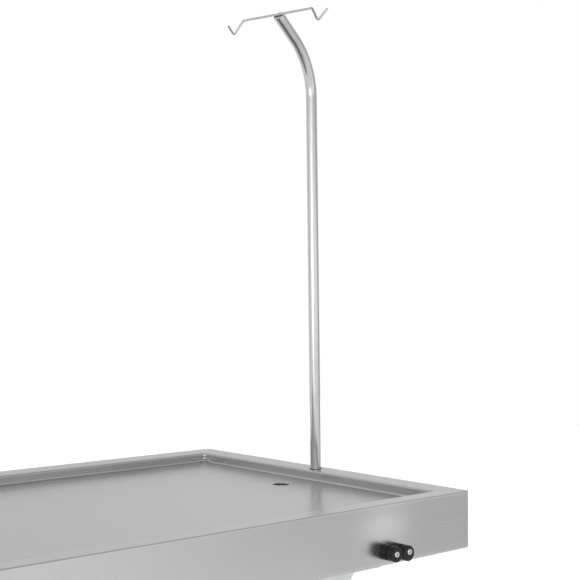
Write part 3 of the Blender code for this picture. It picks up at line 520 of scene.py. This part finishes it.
def punchHoles(piece):
    # The sheet's thickness and its round holes become part of the mesh: one for the pole's bush, eight for screws.
    reach, sides = tray["punchReach"], tray["punchSides"]
    holes = [(standFoot, standAxis, stand["hole"])]
    for side, end in cornerNames.values():
        for along in (0, screws["spacing"]):
            holes.append(((end * (screwX + along), side * halfWidth, screwZ), alongY, screws["hole"]))
    points = np.concatenate([revolved([(radius, -reach), (radius, reach)], middle, axis, sides)
                             for middle, axis, radius in holes])
    rings = len(points)
    faces = np.reshape(gridFaces(rings, sides), (-1, sides, 4))[::2].reshape(-1, 4).tolist()
    faces += np.arange(rings * sides).reshape(rings, sides).tolist()
    mesh = newMesh("punches", points, faces)
    turnOutward(mesh)
    punches = linked("punches", mesh)
    cut = piece.modifiers.new("holes", "BOOLEAN")
    cut.solver = "EXACT"
    cut.object = punches
    bpy.context.view_layer.update()
    finished = bpy.data.meshes.new_from_object(piece.evaluated_get(bpy.context.evaluated_depsgraph_get()))
    piece.modifiers.clear()
    piece.data = finished
    finished.set_sharp_from_angle(angle=math.radians(plateSharp))
    bpy.data.objects.remove(punches)


trayPiece = makeTray()
punchHoles(trayPiece)
print("tray made:", len(trayPiece.data.vertices), "points")


# Drip pole

pole = {
    # Tube, and the disc welded in its mouth
    **metres(radius=8.5, wall=1.5, straight=585, bendRadius=112, tail=48, foot=-67.4, lip=0.4,
             discDepth=0.12, discDome=0.1, discThick=3, discFit=0.05),
    "bend": math.radians(51.5), "sides": 56, "footSteps": 6, "bendSteps": 28, "tailShares": (0.25, 0.75, 1),
    "discShares": (0.95, 0.75, 0.5, 0.25, 0.05), "discSides": 40,
}


def polePath():
    # Straight up, round an arc about a centre on the tray's side, then straight on to the end.
    turn = np.linspace(0, pole["bend"], pole["bendSteps"])
    bend = np.stack([-pole["bendRadius"] * (1 - np.cos(turn)), 0 * turn,
                     pole["straight"] + pole["bendRadius"] * np.sin(turn)], -1)
    direction = np.array((-math.sin(pole["bend"]), 0, math.cos(pole["bend"])))
    foot = np.zeros((pole["footSteps"], 3))
    foot[:, 2] = np.linspace(pole["foot"], pole["straight"], pole["footSteps"], endpoint=False)
    tail = bend[-1] + pole["tail"] * np.array(pole["tailShares"])[:, None] * direction
    return np.concatenate([foot, bend, tail]), direction


def makePole():
    # Outside wall up, over the rounded lip at the end, given as (radius, way back), and down the inside wall.
    path, direction = polePath()
    radius, lip, end = pole["radius"], pole["lip"], path[-1]
    inner = radius - pole["wall"]
    outside, inside = (sweptTube(path, np.full(len(path), size), pole["sides"], alongY) for size in (radius, inner))
    outward = (outside[-1] - end) / radius
    rims = [end + outward * size - direction * back for size, back in (
        (radius, lip), (radius - lip * midway, lip * midway), (radius - lip, 0), (inner + lip, 0), (inner, lip))]
    rings = np.concatenate([outside[:-1], rims, inside[-2::-1]])
    faces = gridFaces(len(rings), pole["sides"], closeRows=True)
    meshPiece("pole_tube", fromStand(rings), faces, "groundTube", "pole", ("drip_pole",))


def makeEndDisc():
    # The disc's dome falls with the square of the distance from its middle.
    path, direction = polePath()
    radius, depth, dome = pole["radius"] - pole["wall"] - pole["discFit"], pole["discDepth"], pole["discDome"]
    profile = [(pole["discShares"][-1] * radius, -pole["discThick"]), (radius, -pole["discThick"]),
               (radius, -depth - dome)]
    profile += [(radius * share, dome * (1 - share ** 2) - depth) for share in pole["discShares"]]
    origin, tip = fromStand([path[-1], path[-1] + direction])
    turnedPiece("pole_end_disc", profile, origin, tip - origin, "groundTube", "pole", sides=pole["discSides"])


hook = {
    **metres(wire=1.8, half=67.35, valleyOut=15.2, valleyDrop=22.5, tipOut=30.3, tipDrop=4.9, bendRadius=3.5,
             offset=1.7, gap=0.3),
    "tilt": math.radians(14.9), "sides": 20,
    # The wire's ends are rounded off: way in and radius of their rings, as shares of the wire's radius
    "tipShares": (0, 0.25, 0.8), "tipRadii": (0.62, 0.9),
}


def roundedPath(corners, radius, steps=8):
    # Each inner corner gives way to an arc of the radius that touches both of its runs.
    corners = [np.asarray(c, float) for c in corners]
    path = [corners[0]]
    for before, corner, after in zip(corners, corners[1:], corners[2:]):
        inward, outward = unit(before - corner), unit(after - corner)
        half = math.acos(np.clip(inward @ outward, -1, 1)) / 2
        middle = unit(inward + outward)
        centre = corner + middle * radius / math.sin(half)
        start = (corner + inward * radius / math.tan(half) - centre) / radius
        side = unit(-middle - (-middle @ start) * start)
        sweep = np.pi - 2 * half
        for turn in np.linspace(0, sweep, steps):
            path.append(centre + radius * (math.cos(turn) * start + math.sin(turn) * side))
    path.append(corners[-1])
    return np.array(path)


def makeHookBar():
    # A wire over the pole's end with a V at each end, in a plane tilted about the wire's own run.
    end, direction = polePath()
    wire, tilt = hook["wire"], hook["tilt"]
    middle = end[-1] + direction * (wire + hook["gap"])
    outline = [(hook["half"] + hook["tipOut"], -hook["tipDrop"]),
               (hook["half"] + hook["valleyOut"], -hook["valleyDrop"]), (hook["half"], 0)]
    outline += [(-along, drop) for along, drop in reversed(outline)]
    path = roundedPath([middle + np.array((drop * math.sin(tilt), along + hook["offset"], drop * math.cos(tilt)))
                        for along, drop in outline], hook["bendRadius"])
    run = unit(np.diff(path[[0, 1, -2, -1]], axis=0)[[0, 2]])
    shares = np.array(hook["tipShares"])[:, None] * wire
    path = np.concatenate([path[0] + run[0] * shares, path[1:-1], path[-1] - run[1] * shares[::-1]])
    radii = np.full(len(path), wire)
    radii[:2] = radii[:-3:-1] = np.array(hook["tipRadii"]) * wire
    rings = sweptTube(path, radii, hook["sides"], (math.cos(tilt), 0, -math.sin(tilt)))
    faces = gridFaces(len(path), hook["sides"]) + endCaps(len(path), hook["sides"])
    meshPiece("hook_wire", fromStand(rings), faces, "groundTube", "pole", ("hook_bar",))


makePole()
makeEndDisc()
makeHookBar()
print("pole made")


# Rope clamps

clamp = {
    # (radius, height over the apron): drum with its rope groove, its bore, and the screw from the floor of its
    # socket over the chamfered head and down to the nut and the tip behind the apron
    **metres(drum=[(4.55, 22), (10.3, 22), (10.3, 12), (8.7, 12), (8.7, 9), (10.3, 9), (10.3, 0.3), (2.8, 0.3)],
             bore=[(2.8, 0.3), (2.8, 17.2), (4.55, 17.2), (4.55, 22)],
             socket=[(0.3, 18.5), (1.8, 18.9), (1.8, 22.35)],
             screw=[(2.15, 22.5), (3.25, 22.5), (4.25, 21.5), (4.25, 17.5), (2.5, 17.5), (2.5, -1.8), (5, -1.8),
                    (5, -5.8), (2.5, -5.8), (2.5, -9.5), (0.3, -9.5)],
             drumRound=0.9, boreRound=0.3, screwRound=0.45, camOffset=2.65),
    "camAngle": math.radians(217), "drumSteps": 4, "boreSteps": 2, "screwSides": 48,
}


def clampDrum(name, centre, axis, boreX, body, node):
    # A turned drum whose bore stands where the screw is, which on a cam is off the drum's own axis.
    outer = softened(clamp["drum"], clamp["drumRound"], clamp["drumSteps"])
    inner = softened(clamp["bore"], clamp["boreRound"], clamp["boreSteps"])
    rings = revolved(outer + inner[1:-1], (boreX, centre[1], screwZ), axis)
    rings[1:len(outer) - 1] += np.array((centre[0] - boreX, 0, centre[2] - screwZ))
    faces = gridFaces(*rings.shape[:2], closeRows=True)
    meshPiece(name, rings, faces, "blackNylon", body, (node,), plateSharp)


def hexSocket(angle, count):
    # The socket's rings are hexagons: the flat's distance over the cosine of the angle from the flat's middle.
    out = np.ones((count, len(angle)))
    out[:len(clamp["socket"])] = 1 / np.cos((angle + np.pi / 6) % (np.pi / 3) - np.pi / 6)
    return out


def clampScrew(name, origin, axis, node):
    # Screw and nut in one turned profile, sharp inside its socket.
    profile = list(clamp["socket"]) + softened(clamp["screw"], clamp["screwRound"])
    turnedPiece(name, profile, origin, axis, "zincPlate", "tray", (node,), clamp["screwSides"], hexSocket)


for place, (side, end) in cornerNames.items():
    axis, y = (0, side, 0), side * halfWidth
    fixedX, camX = end * screwX, end * (screwX + screws["spacing"])
    camCentre = (camX + end * clamp["camOffset"] * math.cos(clamp["camAngle"]), y,
                 screwZ + clamp["camOffset"] * math.sin(clamp["camAngle"]))
    clampDrum("fixed_drum_" + place, (fixedX, y, screwZ), axis, fixedX, "tray", "fixed_roller_" + place)
    clampDrum("cam_drum_" + place, camCentre, axis, camX, "cam_" + place, "cam_roller_" + place)
    clampScrew("fixed_bolt_" + place, (fixedX, y, screwZ), axis, "fixed_screw_" + place)
    clampScrew("cam_bolt_" + place, (camX, y, screwZ), axis, "cam_screw_" + place)
print("rope clamps made")


# Scissor lift

lift = {
    **metres(pivotX=422, rollerX=-59, low=55, span=860, running=0.3, armHeight=48, armThick=10, armRound=0.7,
             innerY=226, outerY=239, shaft=8, shaftEnd=279, shaftRound=1, axle=7, axleRoot=2, axleEnd=270,
             axleRound=0.8, torqueTube=17, torqueRound=0.6, crossTube=15, crossWall=2.5, crossFromEnd=160,
             crossRound=0.5, wheelRound=0.8, pinRound=1.2,
             # (radius, distance from the table's middle): wheel with a hollow ring in its outer face, and the headed
             # pin through both arms, riveted over on the inside
             wheel=[(21.7, 250), (21.7, 270), (16, 270), (15, 268), (10.5, 268), (9.5, 270), (7.3, 270), (7.3, 250)],
             pin=[(0.3, 249.3), (13, 249.3), (13, 244.3), (7, 244.3), (7, 220.7), (13, 220.7), (13, 215.7),
                  (0.3, 215.7)]),
    "shaftSides": 40, "pinSides": 48, "pinSteps": 4,
}
lift["high"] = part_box("upper_pivot_shaft")[0].z + lift["shaft"]
scissorMiddle = np.array(((lift["pivotX"] + lift["rollerX"]) / 2, 0, (lift["low"] + lift["high"]) / 2))


def platePiece(name, loops, thickness, edge, origin, axes, body, node):
    # Each loop is a closed outline in the plate's plane, the first outside and the others holes. Its rows step in
    # by the edge rounding at both faces: the outline's points less the inset along their outward normals.
    across, along, through = (np.asarray(axis, float) for axis in axes)
    part = edge * midway
    steps = np.array([(edge, 0), (part, part), (0, edge), (0, thickness - edge), (part, thickness - part),
                      (edge, thickness)])
    inset, height = steps[:, 0, None, None], steps[:, 1, None, None] - thickness / 2
    points, faces = [], []
    for number, loop in enumerate(loops):
        loop = np.asarray(loop, float)
        run = unit(np.roll(loop, -1, 0) - np.roll(loop, 1, 0))
        area = np.sum(loop[:, 0] * np.roll(loop[:, 1], -1) - np.roll(loop[:, 0], -1) * loop[:, 1])
        normal = np.stack([run[:, 1], -run[:, 0]], 1) * np.sign(area) * (1 if number == 0 else -1)
        flat = loop - normal * inset
        rows = flat[..., :1] * across + flat[..., 1:] * along + height * through
        faces += (np.array(gridFaces(*rows.shape[:2])) + len(points)).tolist()
        points += rows.reshape(-1, 3).tolist()
    mesh = newMesh(name, np.array(points) + origin, faces)
    shape = bmesh.new()
    shape.from_mesh(mesh)
    beyond = (np.array(points) @ through > 0).tolist()
    for face in (False, True):
        rim = [line for line in shape.edges if line.is_boundary and beyond[line.verts[0].index] is face]
        bmesh.ops.triangle_fill(shape, use_beauty=True, edges=rim)
    bmesh.ops.recalc_face_normals(shape, faces=shape.faces)
    shape.to_mesh(mesh)
    shape.free()
    return addPiece(mesh, "powderCoat", body, (node,))


def circle(radius, x=0.0, sides=48):
    # The radius times (cos, sin) of each angle, about (x, 0).
    angle = np.arange(sides) * 2 * np.pi / sides
    return np.stack([x + radius * np.cos(angle), radius * np.sin(angle)], 1)


def stadium(half, radius, sides=28):
    # A half circle about (half, 0) and the same turned half round about the origin.
    turn = np.linspace(-np.pi / 2, np.pi / 2, sides)
    right = np.stack([half + radius * np.cos(turn), radius * np.sin(turn)], 1)
    return np.concatenate([right, -right])


def ringProfile(outer, inner, low, high, edge):
    # The section of a tube: a rectangle from one radius to the other.
    return softened([(outer, low), (outer, high), (inner, high), (inner, low)], edge, closed=True)


def barProfile(radius, low, high, edge):
    # Half the section of a solid bar, from its axis out and back to it.
    return softened([(nearAxis, low), (radius, low), (radius, high), (nearAxis, high)], edge)


def makeArms():
    # Each arm's ends are half a span from the scissor's middle, on slopes that cross.
    c = lift
    run, rise = (c["pivotX"] - c["rollerX"]) / c["span"], (c["high"] - c["low"]) / c["span"]
    bar = [stadium(c["span"] / 2, c["armHeight"] / 2), circle(c["shaft"] + c["running"], c["span"] / 2),
           circle(c["axle"] + c["running"])]
    for kind, y, slope, level, pivotZ in (("inner", c["innerY"], -1, "lower", c["low"]),
                                          ("outer", c["outerY"], 1, "upper", c["high"])):
        body, inner = kind + "_arms", y - c["armThick"] / 2
        along, upward = np.array((run, 0, slope * rise)), np.array((-slope * rise, 0, run))
        for sideName, side in sideNames.items():
            node = kind + "_arm_" + sideName
            platePiece(node + "_bar", bar, c["armThick"], c["armRound"], scissorMiddle + (0, side * y, 0),
                       (along, upward, alongY), body, node)
            turnedPiece(node + "_axle", barProfile(c["axle"], inner + c["axleRoot"], c["axleEnd"], c["axleRound"]),
                        scissorMiddle - along * c["span"] / 2, (0, side, 0), "zincPlate", body)
        inside = inner - c["running"]
        torque = ringProfile(c["torqueTube"], c["shaft"] + c["running"], -inside, inside, c["torqueRound"])
        turnedPiece(level + "_torque_sleeve", torque, (c["pivotX"], 0, pivotZ), alongY,
                    "powderCoat", body, (level + "_torque_tube",), closed=True)
        cross = ringProfile(c["crossTube"], c["crossTube"] - c["crossWall"], -inside, inside, c["crossRound"])
        turnedPiece(kind + "_spreader", cross, scissorMiddle - along * (c["span"] / 2 - c["crossFromEnd"]), alongY,
                    "powderCoat", body, (kind + "_cross_tube",), closed=True)


def makeTurnedParts():
    # Shafts, wheels and centre pins: their sections turned about axes along Y.
    c = lift
    wheel = softened(c["wheel"], c["wheelRound"], closed=True)
    shaft = barProfile(c["shaft"], -c["shaftEnd"], c["shaftEnd"], c["shaftRound"])
    for level, z, body in (("lower", c["low"], "base"), ("upper", c["high"], "tray")):
        turnedPiece(level + "_shaft_bar", shaft, (c["pivotX"], 0, z), alongY, "zincPlate", body,
                    (level + "_pivot_shaft",), c["shaftSides"])
        for sideName, side in sideNames.items():
            node = level + "_roller_" + sideName
            turnedPiece(level + "_wheel_" + sideName, wheel, (c["rollerX"], 0, z), (0, side, 0), "blackNylon",
                        node + "_body", (node,), closed=True)
    pin = softened(c["pin"], c["pinRound"], c["pinSteps"])
    for sideName, side in sideNames.items():
        turnedPiece("scissor_pin_" + sideName, pin, scissorMiddle, (0, side, 0), "zincPlate", "inner_arms",
                    ("centre_pin_" + sideName,), c["pinSides"])


makeArms()
makeTurnedParts()
print("scissor made")


# Rails, cross tubes and feet

base = {
    **metres(railHeight=50, railDepth=28, railWall=3, railY=275, railBend=4, railInnerBend=1.5, sawnEdge=0.3,
             tubeWall=2, tubeBend=3, tubeInnerBend=1.2, footFloor=15, foot=19, footBand=6, footRound=1.5),
    "railSteps": 5, "tubeSteps": 4, "footSteps": 4,
}


def channelLoop(side, middleZ):
    # A rolled channel that opens inwards, its outer bends wider than its inner ones.
    c = base
    far, wall, half = c["railY"], c["railWall"], c["railHeight"] / 2
    near = far - c["railDepth"]
    outer = softened([(near, -half), (far, -half), (far, half), (near, half)], c["railBend"], c["railSteps"])
    inner = softened([(near, half - wall), (far - wall, half - wall), (far - wall, -half + wall),
                      (near, -half + wall)], c["railInnerBend"])
    return [(side * y, z + middleZ) for y, z in outer + inner]


def makeRails():
    # The channel's section, carried along X.
    for level, middleZ, body in (("base", lift["low"], "base"), ("upper", lift["high"], "tray")):
        for sideName, side in sideNames.items():
            node = level + "_rail_" + sideName
            middle, low, high = boxMiddle(node)
            platePiece(node + "_channel", [channelLoop(side, middleZ)], high.x - low.x, base["sawnEdge"],
                       (middle.x, 0, 0), (alongY, alongZ, alongX), body, node)


def squareLoop(low, high, inset, bend, steps=3):
    # A square outline in X and Z with its corners rounded.
    left, right, bottom, top = low.x + inset, high.x - inset, low.z + inset, high.z - inset
    return softened([(left, bottom), (right, bottom), (right, top), (left, top)], bend, steps, closed=True)


def makeCrossTubes():
    # A square tube's two outlines, carried along Y. The bearers' tops follow the fall of the tray's rim.
    crosses = [("bearer_" + name, "tray", tray["rimFall"]) for name in ("pole_end", "middle", "foot_end")]
    crosses += [("base_cross_" + name, "base", 0) for name in endNames]
    for node, body, lower in crosses:
        middle, low, high = boxMiddle(node)
        high.z -= lower
        loops = [squareLoop(low, high, 0, base["tubeBend"], base["tubeSteps"]),
                 squareLoop(low, high, base["tubeWall"], base["tubeInnerBend"])]
        platePiece(node + "_tube", loops, high.y - low.y, base["sawnEdge"], (0, middle.y, 0),
                   (alongX, alongZ, alongY), body, node)


def makeFeet():
    # A cone that widens up to a straight band.
    c = base
    for node in ("rubber_foot_" + place for place in cornerNames):
        middle, low, high = boxMiddle(node)
        outline = softened([(nearAxis, low.z), (c["footFloor"], low.z), (c["foot"], high.z - c["footBand"]),
                            (c["foot"], high.z), (nearAxis, high.z)], c["footRound"], c["footSteps"])
        turnedPiece(node + "_cone", outline, (middle.x, middle.y, 0), alongZ, "footRubber", "base", (node,))


makeRails()
makeCrossTubes()
makeFeet()
print("rails, cross tubes and feet made")


# Hydraulics, drain and the pole's liner

# (radius, way along): the ram's closed end, its mouth from the far end, and the floor of its bore; and half of the
# follower wheel with its pin
ram = metres(closed=[(0.3, 0), (28, 0), (28, 12), (27, 13)],
             mouth=[(27, -15), (28, -14), (28, 0), (14.5, 0), (14.5, -12), (22, -12)],
             boreFloor=[(22, 12), (0.3, 12)], round=1)
follower = metres(half=[(0.3, 18.5), (6, 18.5), (6, 10), (15, 10)], round=0.8)
plunger = metres(radius=7, round=1.6)
outlet = metres(outer=15, inner=13, length=55, flange=27, flangeThick=2, gap=0.3, round=0.4)
liner = metres(outer=10.2, inner=8.8, foot=-68, top=-0.4, round=0.3)


def makeHydraulics():
    # Sections turned about the middles of the CAD nodes' boxes.
    middle, low, high = boxMiddle("ram_cylinder")
    mouth = ram["mouth"] + (0, high.x - low.x)
    barrel = softened(np.concatenate([ram["closed"], mouth, ram["boreFloor"]]), ram["round"])
    turnedPiece("ram_barrel", barrel, (low.x, 0, middle.z), alongX, "blackEnamel", "base", ("ram_cylinder",))
    middle = boxMiddle("cam_follower")[0]
    half = follower["half"]
    wheel = softened(np.concatenate([half * (1, -1), half[::-1]]), follower["round"])
    turnedPiece("follower_wheel", wheel, (middle.x, 0, middle.z), alongY, "zincPlate", "follower", ("cam_follower",))
    middle, low, high = boxMiddle("pump_plunger")
    turnedPiece("plunger_pin", barProfile(plunger["radius"], low.z, high.z, plunger["round"]),
                (middle.x, middle.y, 0), alongZ, "hardChrome", "plunger", ("pump_plunger",))


def makeDrainAndLiner():
    # The drain's pipe and flange hang under the sheet, and the liner stands in the pole's socket.
    c = outlet
    spot = (drainX, 0, drainZ - tray["sheet"] - c["gap"])
    pipe = ringProfile(c["outer"], c["inner"], -c["length"], -c["flangeThick"], c["round"])
    flange = ringProfile(c["flange"], c["inner"], -c["flangeThick"], 0, c["round"])
    turnedPiece("drain_outlet", pipe, spot, alongZ, "pickledTube", "tray", ("drain_pipe",), closed=True)
    turnedPiece("drain_flange", flange, spot, alongZ, "pickledTube", "tray", closed=True)
    bush = ringProfile(liner["outer"], liner["inner"], liner["foot"], liner["top"], liner["round"])
    turnedPiece("bush_liner", bush, standFoot, standAxis, "blackNylon", "bush", ("pole_bush",), closed=True)


makeHydraulics()
makeDrainAndLiner()
for node, width, finish, body in (
        ("pump_block", 1.2, "zincPlate", "base"), ("pump_pedal", 0.8, "powderCoat", "pedal"),
        ("lifting_cam", 0.6, "powderCoat", "inner_arms"), ("ram_cross_member", 0.6, "powderCoat", "base"),
        ("ram_rod", 0.4, "hardChrome", "ram")):
    bevelledCopy(node, width * mm, finish, body)
print("hydraulics and drain made")


# Nodes that keep their own shape

slotOf = {row["node"]: row["material_slot"] for row in frame["record"]["subparts"]}
for name, node in frame["nodes"].items():
    if not node.hide_render:
        node.data.materials.clear()
        node.data.materials.append(materials[slotFinish[slotOf[name]]])


# Studio

studio = {
    # Painted shade: the paper is greyer near the table, for the table's shade on it
    "floorSize": 15.0, "tableShadePaper": "#D4D4D4", "farPaper": "#FAFAFA", "paperRoughness": 0.9,
    # Middle, inner and outer radius and least value of the painted shade round the table, which fades out into paler
    # paper, and of the spot that a flag to the right of the camera shades
    "tableShade": ((0, 0, 0), 1.3, 3.1, 0.0), "shade": ((4.4, -3.1, 0), 0.8, 3.0, 0.52),
    "ambient": 0.66,
    # Soft lobes of light: azimuth from -Y towards +X, elevation, inner and outer half angle, gain, and how much
    # flatter than round each is
    "lobes": [(-63, -2, 4, 26, 2.15, 3.5), (-98, 0, 10, 42, 0.55, 3), (-10, 0, 38, 74, 0.76, 14),
              (122, 10, 0, 42, 0.17, 1), (-172, 0, 8, 44, 0.35, 2), (-174, 52, 4, 12, 1.9, 1),
              (-41, 20, 6, 22, 0.9, 1), (0, 90, 25, 70, -0.20, 1)],
    "overhead": 1.75, "overheadAngle": math.radians(50),
}


def makeWorld():
    # Each lobe adds its gain, eased by the cosine between its own direction and the view's, squeezed in height.
    world = bpy.data.worlds.new("studio")
    bpy.context.scene.world = world
    world.use_nodes = True
    tree = world.node_tree
    tree.nodes.clear()
    direction = addNode(tree, "TexCoord")
    total = addNode(tree, "Value")
    total.outputs[0].default_value = studio["ambient"]
    for azimuth, elevation, inner, outer, gain, flatness in studio["lobes"]:
        a, e = math.radians(azimuth), math.radians(elevation)
        towards = (math.sin(a) * math.cos(e), -math.cos(a) * math.cos(e), math.sin(e))
        squeezed = addNode(tree, "VectorMath", {0: (direction, "Generated"), 1: (1, 1, flatness)}, operation="MULTIPLY")
        unit = addNode(tree, "VectorMath", {0: (squeezed, "Vector")}, operation="NORMALIZE")
        dot = addNode(tree, "VectorMath", {0: (unit, "Vector"), 1: towards}, operation="DOT_PRODUCT")
        lobe = addNode(tree, "MapRange", {
            "Value": (dot, "Value"), "From Min": math.cos(math.radians(outer)),
            "From Max": math.cos(math.radians(inner)), "To Max": gain}, interpolation_type="SMOOTHSTEP")
        total = addNode(tree, "Math", {0: (total, "Value"), 1: (lobe, "Result")}, operation="ADD")
    white = (1, 1, 1, 1)
    lit = addNode(tree, "Background", {"Color": white, "Strength": (total, "Value")})
    backdrop = addNode(tree, "Background", {"Color": white})
    seen = addNode(tree, "LightPath")
    both = addNode(tree, "MixShader", {0: (seen, "Is Camera Ray"), 1: (lit, "Background"), 2: (backdrop, "Background")})
    addNode(tree, "OutputWorld", {"Surface": (both, "Shader")})


def makeFloor():
    # Paper with painted shade: grey near the table for the table's shade, going to white with the distance, and darker
    # round the shaded spot.
    size = studio["floorSize"] / 2
    square = np.array([(-1, -1, 0), (1, -1, 0), (1, 1, 0), (-1, 1, 0)])
    mesh = newMesh("studio_floor", square * size, [(0, 1, 2, 3)])
    material, tree, shader = newMaterial("studio_paper")
    mesh.materials.append(material)
    place = addNode(tree, "TexCoord")
    rings = []
    for middle, inner, outer, least in (studio["tableShade"], studio["shade"]):
        away = addNode(tree, "VectorMath", {0: (place, "Object"), 1: middle}, operation="DISTANCE")
        rings.append(addNode(tree, "MapRange", {
            "Value": (away, "Value"), "From Min": inner, "From Max": outer, "To Min": least},
            interpolation_type="SMOOTHSTEP"))
    tone = addNode(tree, "Mix", {
        "Factor": (rings[0], "Result"), "A": linearColour(studio["tableShadePaper"]),
        "B": linearColour(studio["farPaper"])}, data_type="RGBA")
    shaded = addNode(tree, "VectorMath", {0: (tone, "Result"), "Scale": (rings[1], "Result")}, operation="SCALE")
    fillInputs(tree, shader, {
        "Base Color": (shaded, "Vector"), "Roughness": studio["paperRoughness"], "Specular IOR Level": 0.0})
    linked("studio_floor", mesh)


def makeOverhead():
    # A broad light straight overhead that leaves no glint.
    light = bpy.data.lights.new("overhead_softbox", "SUN")
    light.energy = studio["overhead"]
    light.angle = studio["overheadAngle"]
    linked("overhead_softbox", light).visible_glossy = False


# Focal length and frame in the photograph's pixels, sensor in millimetres, the rest in metres
camera = {"place": (-0.7137, -1.4041, rimTop + 0.2822), "yaw": math.radians(41.49), "focal": 1205.2, "frame": 580,
          "sensor": 36.0, "reach": 200.0}


def makeCamera():
    # Level, turned by its yaw: the lens is the focal length over the frame, times the sensor.
    data = bpy.data.cameras.new("camera")
    data.sensor_width = camera["sensor"]
    data.lens = camera["focal"] / camera["frame"] * data.sensor_width
    data.clip_end = camera["reach"]
    eye = linked("camera", data)
    eye.location = camera["place"]
    eye.rotation_euler = (math.pi / 2, 0, -camera["yaw"])
    bpy.context.scene.camera = eye


makeWorld()
makeFloor()
makeOverhead()
makeCamera()
bpy.context.scene.view_settings.view_transform = "Standard"
print("studio made")
